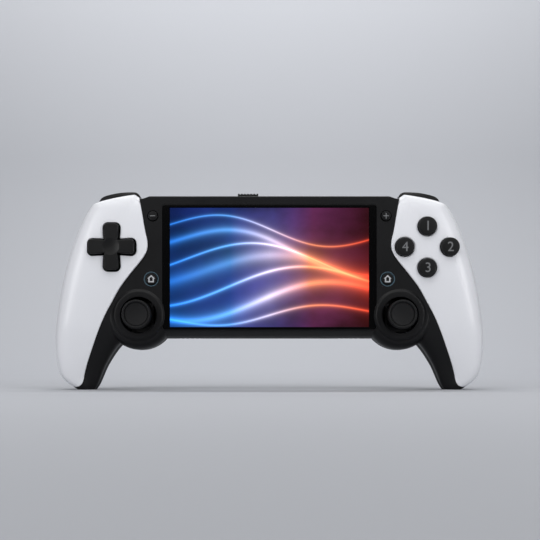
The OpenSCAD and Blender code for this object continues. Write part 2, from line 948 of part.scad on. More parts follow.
// Right carrier of the shoulder pins
module shoulder_bracket() {
    difference() {
        union() {
            across(shoulder_in + 0.1, shoulder_out - 0.1)
                polygon([[17.1, 94], [22.8, 94], [22.8, 95.4], [17.1, 95.4]]);
            for (x = [shoulder_in + 0.1, shoulder_out - 1.7])
                across(x, x + 1.6)
                    polygon([[17.1, 94], [22.8, 94], [27.4, 97.4], [27.4, 101.6], [24, 101.9],
                        [21.4, 103.8], [17.4, 103.8], [17.1, 103.4]]);
            // Switch under the bumper
            block([80, 17.1, 95.2], [85, 20.4, 98.4]);
        }
        bar_x(bumper_pin_d, bumper_pin_z, pin_r, 60, 100);
        bar_x(trigger_pin_d, trigger_pin_z, pin_r, 60, 100);
    }
}

module left_shoulder_bracket() {
    color("#3a3c40")
        left_side()
            shoulder_bracket();
}

module right_shoulder_bracket() {
    color("#3a3c40")
        shoulder_bracket();
}

module shoulder_pins() {
    color(steel)
        both_sides() {
            bar_x(bumper_pin_d, bumper_pin_z, pin_r, shoulder_in + 0.3, shoulder_out - 0.3);
            bar_x(trigger_pin_d, trigger_pin_z, pin_r, shoulder_in + 0.3, shoulder_out - 0.3);
        }
}

// Right trigger spring: one wire wound round the pin with a leg at each end
module trigger_spring() {
    wire = 0.3;
    coil = 1.75;
    turns = 3.5;
    pitch = 1.05;
    per_turn = 8;
    spots = [for (i = [0 : turns * per_turn]) let (a = -i * 360 / per_turn)
        [81 + pitch * i / per_turn, trigger_pin_d + coil * cos(a), trigger_pin_z + coil * sin(a)]];
    last = spots[len(spots) - 1];
    path = concat([[81, trigger_pin_d + coil, 93.5]], spots, [[last[0], trigger_pin_d - coil, 96]]);
    sides = 5;
    m = len(path);
    rings = [for (i = [0 : m - 1])
        let (t = path[min(i + 1, m - 1)] - path[max(i - 1, 0)],
            dir = t / norm(t),
            u0 = [1, 0, 0] - dir * dir[0],
            u = u0 / norm(u0),
            v = cross(dir, u))
        for (k = [0 : sides - 1])
            path[i] + [0, face_y, 0] + wire * (cos(72 * k) * u + sin(72 * k) * v)];
    skin = [for (i = [0 : m - 2], k = [0 : sides - 1])
        each let (a = i * sides + k, b = i * sides + (k + 1) % sides)
            [[a, b, a + sides], [b, b + sides, a + sides]]];
    ends = [[for (k = [0 : sides - 1]) sides - 1 - k], [for (k = [0 : sides - 1]) (m - 1) * sides + k]];
    polyhedron(points = rings, faces = concat(skin, ends));
}

module left_trigger_spring() {
    color(steel)
        left_side()
            trigger_spring();
}

module right_trigger_spring() {
    color(steel)
        trigger_spring();
}

module power_slider() {
    x = slider_x;
    color(dark_rubber)
        difference() {
            union() {
                block([x - 5.5, 3.4, body_top + 0.15], [x + 5.5, 7.2, body_top + 1.8]);
                block([x - 3, 4.4, 102], [x + 3, 6.2, 105.2]);
                block([x - 4.5, 3.4, 101.2], [x + 4.5, 7.2, 102.4]);
                block([x - 0.75, 6.2, 98.8], [x + 0.75, 7.2, 101.6]);
            }
            for (i = [-2 : 3])
                block([x - 1.15 + 1.7 * i, 3, body_top + 1.3], [x - 0.55 + 1.7 * i, 8, body_top + 3]);
        }
}

module slide_switch() {
    x = slider_x;
    color(steel)
        difference() {
            block([x - 5, 5.95, 95.5], [x + 8, main_board_d, 100.6]);
            block([x - 1.2, 6, 98.4], [x + 4.2, 7.4, 101]);
        }
}

module usb_port() {
    color(steel)
        translate([0, face_y + usb_d, 28.8]) {
            difference() {
                linear_extrude(7.4)
                    pane(8.94, 3.2, 1.5, z = 0);
                translate([0, 0, -1])
                    linear_extrude(7.4)
                        pane(8.34, 2.56, 1.2, z = 0);
            }
            translate([-3.35, -0.35, 1])
                cube([6.7, 0.7, 6]);
        }
}

module headphone_jack() {
    color("#303236")
        difference() {
            union() {
                block([jack_x - 3.1, main_back, 31.2], [jack_x + 3.1, 14.6, 43.5]);
                bar_z(jack_x, jack_d, 2.6, 28.7, 31.4);
            }
            bar_z(jack_x, jack_d, jack_r, 28, 42.5);
        }
}

module card_slot() {
    color(steel)
        difference() {
            block([card_x - 6.4, main_back, 29], [card_x + 6.4, 10.9, 44]);
            block([card_x - 5.6, main_back + 0.4, 28], [card_x + 5.6, 10.5, 43]);
        }
}

module speaker() {
    difference() {
        block([speaker_x - 9, rear_wall_d - 4.4, 33.6], [speaker_x + 9, rear_wall_d - 1, 43]);
        block([speaker_x - 8, rear_wall_d - 3.6, 31], [speaker_x + 8, rear_wall_d - 1.8, 34.4]);
    }
}

module left_speaker() {
    color("#303236")
        left_side()
            speaker();
}

module right_speaker() {
    color("#303236")
        speaker();
}

module case_screws() {
    color(steel)
        both_sides()
            for (p = screw_spots)
                difference() {
                    union() {
                        rod(p[0], p[1], 2.2, screw_seat, screw_seat + 1.6);
                        rod(p[0], p[1], 1, 6, screw_seat + 0.1);
                    }
                    slab(screw_seat + 0.8, screw_seat + 2)
                        for (a = [0, 90])
                            translate([p[0], p[1]])
                                rotate(a)
                                    square([2.6, 0.5], center = true);
                }
}

module board_screws() {
    color(steel)
        both_sides()
            for (p = main_posts) {
                rod(p[0], p[1], 1.7, main_back, main_back + 1.1);
                rod(p[0], p[1], 0.74, 4.5, main_back + 0.1);
            }
}

module display_ribbon() {
    color("#8a5a22")
        across(-15, 15)
            polygon([[lcd_back, 52], [lcd_back + 0.3, 52], [lcd_back + 0.3, 47.2], [main_board_d, 45.3],
                [main_board_d, 40], [main_board_d - 0.3, 40], [main_board_d - 0.3, 45], [lcd_back, 46.9]]);
}

front_housing();
rear_housing();
left_faceplate();
right_faceplate();
screen_glass();
lcd_gasket();
lcd_panel();
main_board();
chip_shield();
battery();
left_key_board();
right_key_board();
dpad();
dpad_rocker();
dpad_stand();
dpad_membrane();
button_north();
button_east();
button_south();
button_west();
button_membrane();
minus_button();
plus_button();
left_home_button();
right_home_button();
left_home_ring();
right_home_ring();
key_switches();
left_stick_collar();
right_stick_collar();
left_stick_module();
right_stick_module();
left_stick_yoke();
right_stick_yoke();
left_stick_pivot();
right_stick_pivot();
left_stick_shaft();
right_stick_shaft();
left_stick_cap();
right_stick_cap();
left_bumper();
right_bumper();
left_trigger();
right_trigger();
left_shoulder_bracket();
right_shoulder_bracket();
shoulder_pins();
left_trigger_spring();
right_trigger_spring();
power_slider();
slide_switch();
usb_port();
headphone_jack();
card_slot();
left_speaker();
right_speaker();
case_screws();
board_screws();
display_ribbon();
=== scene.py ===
"""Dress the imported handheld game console: smooth shells, keys, sticks, lit screen, studio and camera.

Sizes are in millimetres as side distance x, depth behind the flat face and height z, and become metres
in the shared frame through at().
"""
import json
import logging
import math
from collections.abc import Iterable, Sequence
from dataclasses import dataclass
from enum import Enum

import bpy
import numpy as np
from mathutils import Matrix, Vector


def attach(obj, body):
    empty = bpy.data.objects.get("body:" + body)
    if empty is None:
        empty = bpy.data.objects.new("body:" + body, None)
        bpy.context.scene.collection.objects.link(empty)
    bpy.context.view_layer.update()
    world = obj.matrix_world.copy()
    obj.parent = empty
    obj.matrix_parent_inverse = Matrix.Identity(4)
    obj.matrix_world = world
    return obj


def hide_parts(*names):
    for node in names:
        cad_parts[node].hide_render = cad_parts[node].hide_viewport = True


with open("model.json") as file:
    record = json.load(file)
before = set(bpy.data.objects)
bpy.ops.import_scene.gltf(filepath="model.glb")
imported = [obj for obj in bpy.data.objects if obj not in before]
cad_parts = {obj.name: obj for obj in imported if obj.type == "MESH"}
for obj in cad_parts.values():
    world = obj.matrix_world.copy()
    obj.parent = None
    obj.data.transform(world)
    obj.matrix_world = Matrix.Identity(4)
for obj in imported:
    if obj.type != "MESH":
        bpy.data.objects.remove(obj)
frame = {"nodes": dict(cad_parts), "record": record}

LOG = logging.getLogger("console")
MM = 0.001
# Y of the flat face of the screen body
FACE_Y = -14.0
# Doubles closer than this, in metres, are merged
WELD = 2e-6
# Edges this near to a depth, in metres, lie at it
NEAR = 1e-5
Pair = tuple[float, float]
Triple = tuple[float, float, float]
Thing = bpy.types.Object
Material = bpy.types.Material
Tree = bpy.types.NodeTree
Node = bpy.types.Node
Socket = bpy.types.NodeSocket


class Side(Enum):
    """Which half of the console a piece belongs to."""

    LEFT = -1
    RIGHT = 1

    @property
    def word(self) -> str:
        """Name of the side as the nodes spell it."""
        return self.name.lower()


class Combine(Enum):
    """How a second solid changes the first."""

    ADD = "UNION"
    CUT = "DIFFERENCE"
    KEEP = "INTERSECT"


def at(x: float, depth: float, z: float) -> Vector:
    """Turn side distance, depth and height in millimetres into a point in metres."""
    return Vector((x * MM, (FACE_Y + depth) * MM, z * MM))


# Modelling by hand


def start_fresh() -> None:
    """Leave edit mode and deselect everything."""
    if bpy.context.object and bpy.context.object.mode != "OBJECT":
        bpy.ops.object.mode_set(mode="OBJECT")
    bpy.ops.object.select_all(action="DESELECT")


def only(obj: Thing) -> None:
    """Leave edit mode and make one object the selected and active one.

    Args:
        obj: The object.
    """
    start_fresh()
    obj.select_set(True)
    bpy.context.view_layer.objects.active = obj


def edit(obj: Thing) -> None:
    """Go into edit mode with all of an object selected.

    Args:
        obj: The object.
    """
    only(obj)
    bpy.ops.object.mode_set(mode="EDIT")
    bpy.ops.mesh.select_all(action="SELECT")


def clean(obj: Thing) -> Thing:
    """Merge doubles, turn all normals outward and go back to object mode.

    Args:
        obj: The object.

    Returns:
        The same object.
    """
    edit(obj)
    bpy.ops.mesh.remove_doubles(threshold=WELD)
    bpy.ops.mesh.normals_make_consistent(inside=False)
    bpy.ops.object.mode_set(mode="OBJECT")
    return obj


def settled() -> Thing:
    """Apply place, turn and scale of the active object, and give it back."""
    bpy.ops.object.transform_apply(location=True, rotation=True, scale=True)
    return bpy.context.object


def modify(obj: Thing, kind: str, **settings: object) -> Thing:
    """Add a modifier and apply it.

    Args:
        obj: Object to change.
        kind: Type of the modifier.
        settings: Its properties by name.

    Returns:
        The changed object.
    """
    only(obj)
    modifier = obj.modifiers.new(kind, kind)
    for key, value in settings.items():
        setattr(modifier, key, value)
    bpy.ops.object.modifier_apply(modifier=modifier.name)
    return obj


def draw(points: Sequence[Vector]) -> Thing:
    """Draw an open line by extruding one vertex from point to point.

    Args:
        points: Corners of the line in metres.

    Returns:
        The new object, in edit mode with all of it selected.
    """
    start_fresh()
    bpy.ops.mesh.primitive_plane_add(size=MM, location=points[0])
    obj = settled()
    bpy.ops.object.mode_set(mode="EDIT")
    bpy.ops.mesh.select_mode(type="VERT")
    bpy.ops.mesh.select_all(action="SELECT")
    bpy.ops.mesh.merge(type="CENTER")
    for a, b in zip(points, points[1:]):
        bpy.ops.mesh.extrude_vertices_move(TRANSFORM_OT_translate={"value": b - a})
    bpy.ops.mesh.select_all(action="SELECT")
    return obj


def extrude(points: Sequence[Vector], push: Vector) -> Thing:
    """Draw a closed outline, fill it and extrude it into a solid.

    Args:
        points: Corners of the outline in metres.
        push: Extrusion in metres.

    Returns:
        The closed solid.
    """
    obj = draw(points)
    bpy.ops.mesh.edge_face_add()
    bpy.ops.mesh.extrude_region_move(TRANSFORM_OT_translate={"value": push})
    return clean(obj)


def prism(outline: Iterable[Pair], d0: float, d1: float) -> Thing:
    """Extrude an outline of x and z from depth d0 back to d1."""
    return extrude([at(x, d0, z) for x, z in outline], Vector((0, (d1 - d0) * MM, 0)))


def bar(outline: Iterable[Pair], x0: float, x1: float) -> Thing:
    """Extrude an outline of depth and z from x0 to x1."""
    return extrude([at(x0, d, z) for d, z in outline], Vector(((x1 - x0) * MM, 0, 0)))


def column(outline: Iterable[Pair], z0: float, z1: float) -> Thing:
    """Extrude an outline of x and depth from height z0 to z1."""
    return extrude([at(x, d, z0) for x, d in outline], Vector((0, 0, (z1 - z0) * MM)))


def block(low: Triple, high: Triple) -> Thing:
    """Make a block between two corners given as x, depth and z."""
    corners = [(low[0], low[2]), (high[0], low[2]), (high[0], high[2]), (low[0], high[2])]
    return prism(corners, low[1], high[1])


def lathe(x: float, z: float, profile: Iterable[Pair], segments: int = 96) -> Thing:
    """Spin a profile of radius and depth about an axis along the depth.

    Args:
        x: Side distance of the axis.
        z: Height of the axis.
        profile: Corners as radius and depth, from the axis to the axis or back to the first corner.
        segments: Steps of the full turn.

    Returns:
        The closed turned solid.
    """
    obj = draw([at(x + r, d, z) for r, d in profile])
    bpy.ops.mesh.spin(steps=segments, angle=math.tau, center=at(x, 0, z), axis=(0, 1, 0))
    return clean(obj)


def rod(x: float, z: float, r: float, d0: float, d1: float, segments: int = 64) -> Thing:
    """Make a round bar along the depth."""
    return lathe(x, z, [(0, d0), (r, d0), (r, d1), (0, d1)], segments)


def flared(x: float, z: float, r: float, rim: float, mouth: float, ends: Pair, segments: int) -> Thing:
    """Make the tool for a round hole with a chamfered mouth.

    Args:
        x: Side distance of the axis.
        z: Height of the axis.
        r: Radius of the hole.
        rim: Width of the chamfer.
        mouth: Depth of the face around the hole.
        ends: Depths where the tool starts and ends.
        segments: Steps of the full turn.

    Returns:
        The closed tool.
    """
    start, end = ends
    wide = r + rim + mouth - start
    profile = [(0, start), (wide, start), (r + rim, mouth), (r, mouth + rim), (r, end), (0, end)]
    return lathe(x, z, profile, segments)


def round_bar(middle: Triple, r: float, length: float, across: bool = False) -> Thing:
    """Make a round bar along the height, or across along x.

    Args:
        middle: Its middle as x, depth and z.
        r: Radius.
        length: Length.
        across: Whether it lies along x.

    Returns:
        The closed bar.
    """
    start_fresh()
    turn = math.pi / 2 if across else 0.0
    bpy.ops.mesh.primitive_cylinder_add(vertices=48, radius=r * MM, depth=length * MM,
                                        location=at(*middle), rotation=(0, turn, 0))
    return settled()


def from_points(points: np.ndarray, faces: Sequence[Sequence[int]]) -> Thing:
    """Make a mesh from points that a formula gives, which no primitive comes close to.

    Args:
        points: Rows of x, depth and z in millimetres.
        faces: Corner numbers of each face.

    Returns:
        The merged object with outward normals.
    """
    mesh = bpy.data.meshes.new("form")
    placed = (points + np.array([0.0, FACE_Y, 0.0])) * MM
    mesh.from_pydata(placed.tolist(), [], faces)
    obj = bpy.data.objects.new("form", mesh)
    bpy.context.scene.collection.objects.link(obj)
    return clean(obj)


def combine(obj: Thing, how: Combine, *tools: Thing, keep: bool = False) -> Thing:
    """Join, cut or trim a solid with others in turn.

    Args:
        obj: Solid to change.
        how: What the others do to it.
        tools: The others.
        keep: Whether they are left in place rather than used up.

    Returns:
        The changed solid.
    """
    for tool in tools:
        modify(obj, "BOOLEAN", operation=how.value, solver="MANIFOLD", object=tool)
        if not keep:
            bpy.data.objects.remove(tool, do_unlink=True)
    return obj


def copy_of(obj: Thing) -> Thing:
    """Copy an object with its own mesh.

    Args:
        obj: Object to copy.

    Returns:
        The copy.
    """
    twin = obj.copy()
    twin.data = obj.data.copy()
    bpy.context.scene.collection.objects.link(twin)
    return twin


def mirrored(obj: Thing) -> Thing:
    """Copy a right piece to the left side of the console.

    Args:
        obj: Right piece.

    Returns:
        The left piece.
    """
    twin = copy_of(obj)
    edit(twin)
    bpy.ops.transform.resize(value=(-1, 1, 1), center_override=(0, 0, 0))
    bpy.ops.mesh.normals_make_consistent(inside=False)
    bpy.ops.object.mode_set(mode="OBJECT")
    return twin


def bevel_at(obj: Thing, depth: float, width: float, segments: int) -> Thing:
    """Round the edges that lie at one depth.

    Args:
        obj: Solid to change.
        depth: Depth of the edges.
        width: Width of the rounding.
        segments: Faces across the rounding.

    Returns:
        The changed solid.
    """
    level = (FACE_Y + depth) * MM
    edit(obj)
    bpy.ops.mesh.select_mode(type="EDGE")
    bpy.ops.mesh.select_all(action="DESELECT")
    bpy.ops.object.mode_set(mode="OBJECT")
    for line in obj.data.edges:
        line.select = all(abs(obj.data.vertices[v].co.y - level) < NEAR for v in line.vertices)
    bpy.ops.object.mode_set(mode="EDIT")
    bpy.ops.mesh.bevel(offset=width * MM, segments=segments, profile=0.5, affect="EDGES")
    return clean(obj)


def soften(obj: Thing, width: float, angle: float = 35.0) -> Thing:
    """Round all edges sharper than an angle in degrees."""
    return modify(obj, "BEVEL", width=width * MM, segments=3, limit_method="ANGLE",
                  angle_limit=math.radians(angle), use_clamp_overlap=True)


# Outlines


def arc(x: float, y: float, r: float, a0: float, a1: float, steps: int, tall: float = 0.0) -> list[Pair]:
    """Points of an arc about x, y from angle a0 to a1 in degrees, of an ellipse if tall is given."""
    turns = [math.radians(a0 + (a1 - a0) * i / steps) for i in range(steps + 1)]
    return [(x + r * math.cos(t), y + (tall or r) * math.sin(t)) for t in turns]


def round_pane(w: float, h: float, r: float, x: float = 0.0, z: float = 0.0, steps: int = 8) -> list[Pair]:
    """Outline of a rectangle with round corners, centred at x, z."""
    corners = [(1, 1, 0), (-1, 1, 90), (-1, -1, 180), (1, -1, 270)]
    return [p for sx, sz, a in corners
            for p in arc(x + sx * (w / 2 - r), z + sz * (h / 2 - r), r, a, a + 90, steps)]


def quarters(part: Sequence[Pair], x: float, z: float) -> list[Pair]:
    """Repeat a quarter of an outline four times about x, z."""
    turns = ((1, 0), (0, 1), (-1, 0), (0, -1))
    return [(x + c * a - s * b, z + s * a + c * b) for c, s in turns for a, b in part]


def spline(a: np.ndarray, b: np.ndarray, c: np.ndarray, d: np.ndarray, t: float) -> np.ndarray:
    """Point between b and c on a smooth curve through a, b, c and d."""
    return 0.5 * (2 * b + (c - a) * t + (2 * a - 5 * b + 4 * c - d) * t ** 2
                  + (3 * b - 3 * c + d - a) * t ** 3)


def open_curve(points: Sequence[Pair], steps: int) -> list[Pair]:
    """Smooth open curve through points.

    Args:
        points: Points on the curve.
        steps: Spans between each two of them.

    Returns:
        The points of the curve.
    """
    p = np.array(points, float)
    last = len(p) - 1
    found = [spline(p[max(i - 1, 0)], p[i], p[i + 1], p[min(i + 2, last)], k / steps)
             for i in range(last) for k in range(steps)]
    return [(float(q[0]), float(q[1])) for q in found] + [tuple(p[last])]


# Finishes


def linear(hex_code: str) -> tuple[float, float, float, float]:
    """Turn an sRGB hex colour into linear red, green, blue and alpha."""
    parts = [int(hex_code[i:i + 2], 16) / 255 for i in (0, 2, 4)]
    return (*(p / 12.92 if p <= 0.04045 else ((p + 0.055) / 1.055) ** 2.4 for p in parts), 1.0)


def add_node(tree: Tree, kind: str, settings: dict | None = None) -> Node:
    """Add a node with its settings and links.

    A link is given as the node that it comes from, for its first output, or as the output itself.

    Args:
        tree: Node tree of the material or world.
        kind: Node class name after its common first part.
        settings: Properties by name, and values or links of inputs by their name or number.

    Returns:
        The new node.
    """
    node = tree.nodes.new("ShaderNode" + kind)
    given = settings or {}
    inputs = {key: value for key, value in given.items() if isinstance(key, int) or key in node.inputs}
    for key, value in given.items():
        if key not in inputs:
            setattr(node, key, value)
    for key, value in inputs.items():
        source = value.outputs[0] if isinstance(value, Node) else value
        if isinstance(source, Socket):
            tree.links.new(source, node.inputs[key])
        else:
            node.inputs[key].default_value = source
    return node


class Finish:
    """Finish of a real material: one shader with the inputs that each kind of finish gives it."""

    name: str

    def inputs(self, tree: Tree) -> dict:
        """Values and links of the shader's inputs."""
        raise NotImplementedError

    def make(self) -> Material:
        """Build the material.

        Returns:
            The material.
        """
        material = bpy.data.materials.new(self.name)
        material.use_nodes = True
        tree = material.node_tree
        tree.nodes.clear()
        shader = add_node(tree, "BsdfPrincipled", self.inputs(tree))
        add_node(tree, "OutputMaterial", {"Surface": shader})
        return material


@dataclass(frozen=True)
class Moulded(Finish):
    """Plastic or rubber from a mould: a fine spark-eroded grain and faint clouds in colour and gloss.

    The real grain is about 0.1 mm, too fine for the picture, so it is drawn coarser as grain says.
    """

    name: str
    colour: str
    second: str
    roughness: float
    spread: float = 0.08
    specular: float = 0.5
    ior: float = 1.5
    grain: float = 0.7
    height: float = 0.012
    cloud: float = 14.0

    def inputs(self, tree: Tree) -> dict:
        """Add clouds and grain for the shader.

        Args:
            tree: Node tree of the material.

        Returns:
            Values and links of the shader's inputs.
        """
        place = add_node(tree, "TexCoord").outputs["Object"]
        clouds = add_node(tree, "TexNoise", {"Vector": place, "Scale": 1000 / self.cloud, "Detail": 3.0})
        pits = add_node(tree, "TexNoise", {"Vector": place, "Scale": 1000 / self.grain, "Detail": 2.0})
        tint = add_node(tree, "Mix", {
            "data_type": "RGBA", 0: clouds, 6: linear(self.colour), 7: linear(self.second)})
        gloss = add_node(tree, "MapRange", {
            "Value": clouds, "To Min": self.roughness - self.spread, "To Max": self.roughness + self.spread})
        bump = add_node(tree, "Bump", {"Height": pits, "Strength": 0.5, "Distance": self.height * MM})
        return {"Base Color": tint.outputs[2], "Roughness": gloss, "Normal": bump, "IOR": self.ior,
                "Specular IOR Level": self.specular}


@dataclass(frozen=True)
class Metal(Finish):
    """Bare sheet or wire metal with fine drawing lines along one axis."""

    name: str
    colour: str
    roughness: float
    line: float = 0.25
    stretch: Triple = (0.08, 1.0, 1.0)

    def inputs(self, tree: Tree) -> dict:
        """Add drawing lines for the shader.

        Args:
            tree: Node tree of the material.

        Returns:
            Values and links of the shader's inputs.
        """
        place = add_node(tree, "TexCoord").outputs["Object"]
        drawn = add_node(tree, "Mapping", {"Vector": place, "Scale": self.stretch})
        lines = add_node(tree, "TexNoise", {"Vector": drawn, "Scale": 1000 / self.line, "Detail": 2.0})
        gloss = add_node(tree, "MapRange", {
            "Value": lines, "To Min": self.roughness - 0.08, "To Max": self.roughness + 0.1})
        bump = add_node(tree, "Bump", {"Height": lines, "Strength": 0.2, "Distance": 0.01 * MM})
        return {"Base Color": linear(self.colour), "Metallic": 1.0, "Roughness": gloss, "Normal": bump}


@dataclass(frozen=True)
class CoverGlass(Finish):
    """Clear cover glass with a dimming coat against reflections, worn a little unevenly by wiping."""

    name: str = "coated cover glass"
    reflect: Pair = (0.16, 0.24)
    patch: float = 20.0

    def inputs(self, tree: Tree) -> dict:
        """Add the worn coat for the shader.

        Args:
            tree: Node tree of the material.

        Returns:
            Values and links of the shader's inputs.
        """
        place = add_node(tree, "TexCoord").outputs["Object"]
        patches = add_node(tree, "TexNoise", {"Vector": place, "Scale": 1000 / self.patch, "Detail": 2.0})
        coat = add_node(tree, "MapRange", {
            "Value": patches, "To Min": self.reflect[0], "To Max": self.reflect[1]})
        return {"Base Color": (1, 1, 1, 1), "Roughness": 0.0, "IOR": 1.3, "Transmission Weight": 1.0,
                "Specular IOR Level": coat}


@dataclass(frozen=True)
class Paper(Finish):
    """Matte studio paper with a faint fibre."""

    name: str
    colour: str
    fibre: float = 2.5

    def inputs(self, tree: Tree) -> dict:
        """Add the fibre for the shader.

        Args:
            tree: Node tree of the material.

        Returns:
            Values and links of the shader's inputs.
        """
        place = add_node(tree, "TexCoord").outputs["Object"]
        fibre = add_node(tree, "TexNoise", {"Vector": place, "Scale": 1000 / self.fibre, "Detail": 2.0})
        bump = add_node(tree, "Bump", {"Height": fibre, "Strength": 0.05, "Distance": 0.2 * MM})
        return {"Base Color": linear(self.colour), "Roughness": 0.9, "Specular IOR Level": 0.0,
                "Normal": bump}


@dataclass(frozen=True)
class Ribbon:
    """One ribbon of light, as shares of the half picture."""

    height: float
    slope: float
    swing: float
    waves: float
    phase: float
    half_width: float
    bright: float

    def glow(self, tree: Tree, across: Socket, up: Socket) -> Node:
        """Add the light of the ribbon, which fades to both sides of its line.

        Args:
            tree: Node tree of the material.
            across: Place from left to right, -1 to 1.
            up: Place from bottom to top, -1 to 1.

        Returns:
            The node that gives its brightness.
        """
        turn = add_node(tree, "Math", {"operation": "MULTIPLY_ADD", 0: across, 1: self.waves, 2: self.phase})
        wave = add_node(tree, "Math", {"operation": "SINE", 0: turn})
        base = add_node(tree, "Math", {"operation": "MULTIPLY_ADD", 0: across, 1: self.slope, 2: self.height})
        line = add_node(tree, "Math", {"operation": "MULTIPLY_ADD", 0: wave, 1: self.swing, 2: base})
        away = add_node(tree, "Math", {"operation": "SUBTRACT", 0: up, 1: line})
        share = add_node(tree, "Math", {"operation": "DIVIDE", 0: away, 1: self.half_width})
        square = add_node(tree, "Math", {"operation": "POWER", 0: share, 1: 2.0})
        under = add_node(tree, "Math", {"operation": "ADD", 0: square, 1: 1.0})
        return add_node(tree, "Math", {"operation": "DIVIDE", 0: self.bright, 1: under})


@dataclass(frozen=True)
class LitPicture(Finish):
    """Lit display: an abstract wallpaper of light ribbons, cool on the left and warm on the right.

    The picture is in pixels of light, so it only glows and takes no light from the studio. Both colour
    ramps are places from 0 to 1 with their sRGB hex colours.
    """

    name: str
    half_w: float
    half_h: float
    mid_z: float
    sky: tuple[tuple[float, str], ...] = (
        (0.0, "0d1c52"), (0.3, "1d2a78"), (0.52, "3f3a86"), (0.72, "5a2550"), (1.0, "3a0f1c"))
    light: tuple[tuple[float, str], ...] = (
        (0.0, "2f8cff"), (0.3, "6ab4ff"), (0.5, "f2e4ff"), (0.7, "ff9a62"), (1.0, "ff4d2e"))
    ribbons: tuple[Ribbon, ...] = (
        Ribbon(-0.55, 0.16, 0.22, 2.6, 0.3, 0.05, 1.3), Ribbon(-0.3, 0.05, 0.3, 2.2, 0.9, 0.018, 1.5),
        Ribbon(-0.12, -0.1, 0.34, 2.0, 1.3, 0.08, 0.7), Ribbon(0.1, -0.06, 0.3, 2.3, 1.9, 0.014, 1.4),
        Ribbon(0.3, -0.2, 0.26, 2.7, 2.4, 0.04, 0.9), Ribbon(0.62, -0.12, 0.2, 3.1, 3.0, 0.012, 1.0),
        Ribbon(-0.8, 0.1, 0.12, 3.4, 0.0, 0.016, 1.1))

    def inputs(self, tree: Tree) -> dict:
        """Add the hazy sky and the ribbons in front of it for the shader.

        Args:
            tree: Node tree of the material.

        Returns:
            Values and links of the shader's inputs.
        """
        place = add_node(tree, "TexCoord").outputs["Object"]
        scale = (1 / (self.half_w * MM), 1.0, 1 / (self.half_h * MM))
        shift = (0.0, 0.0, -self.mid_z / self.half_h)
        fit = add_node(tree, "Mapping", {"Vector": place, "Scale": scale, "Location": shift})
        axes = add_node(tree, "SeparateXYZ", {"Vector": fit}).outputs
        side = add_node(tree, "MapRange", {"Value": axes["X"], "From Min": -1.0, "From Max": 1.0})
        haze = add_node(tree, "TexNoise", {"Vector": fit, "Scale": 1.3, "Detail": 4.0})
        shade = add_node(tree, "MapRange", {
            "Value": haze, "From Min": 0.3, "From Max": 0.75, "To Min": 0.15, "To Max": 1.5})
        total: Node | float = 0.0
        for ribbon in self.ribbons:
            glow = ribbon.glow(tree, axes["X"], axes["Z"])
            total = add_node(tree, "Math", {"operation": "ADD", 0: total, 1: glow})
        layers = []
        for stops, strength in ((self.sky, shade), (self.light, total)):
            ramp = add_node(tree, "ValToRGB", {"Fac": side})
            bands = ramp.color_ramp.elements
            while len(bands) < len(stops):
                bands.new(0.5)
            for band, (share, colour) in zip(bands, stops):
                band.position = share
                band.color = linear(colour)
            layers.append(add_node(tree, "Mix", {
                "data_type": "RGBA", "blend_type": "MULTIPLY", 0: 1.0, 6: ramp, 7: strength}).outputs[2])
        both = add_node(tree, "Mix", {
            "data_type": "RGBA", "blend_type": "ADD", 0: 1.0, 6: layers[0], 7: layers[1]})
        return {"Base Color": (0.0, 0.0, 0.0, 1.0), "Roughness": 0.6, "Specular IOR Level": 0.0,
                "Emission Strength": 1.0, "Emission Color": both.outputs[2]}


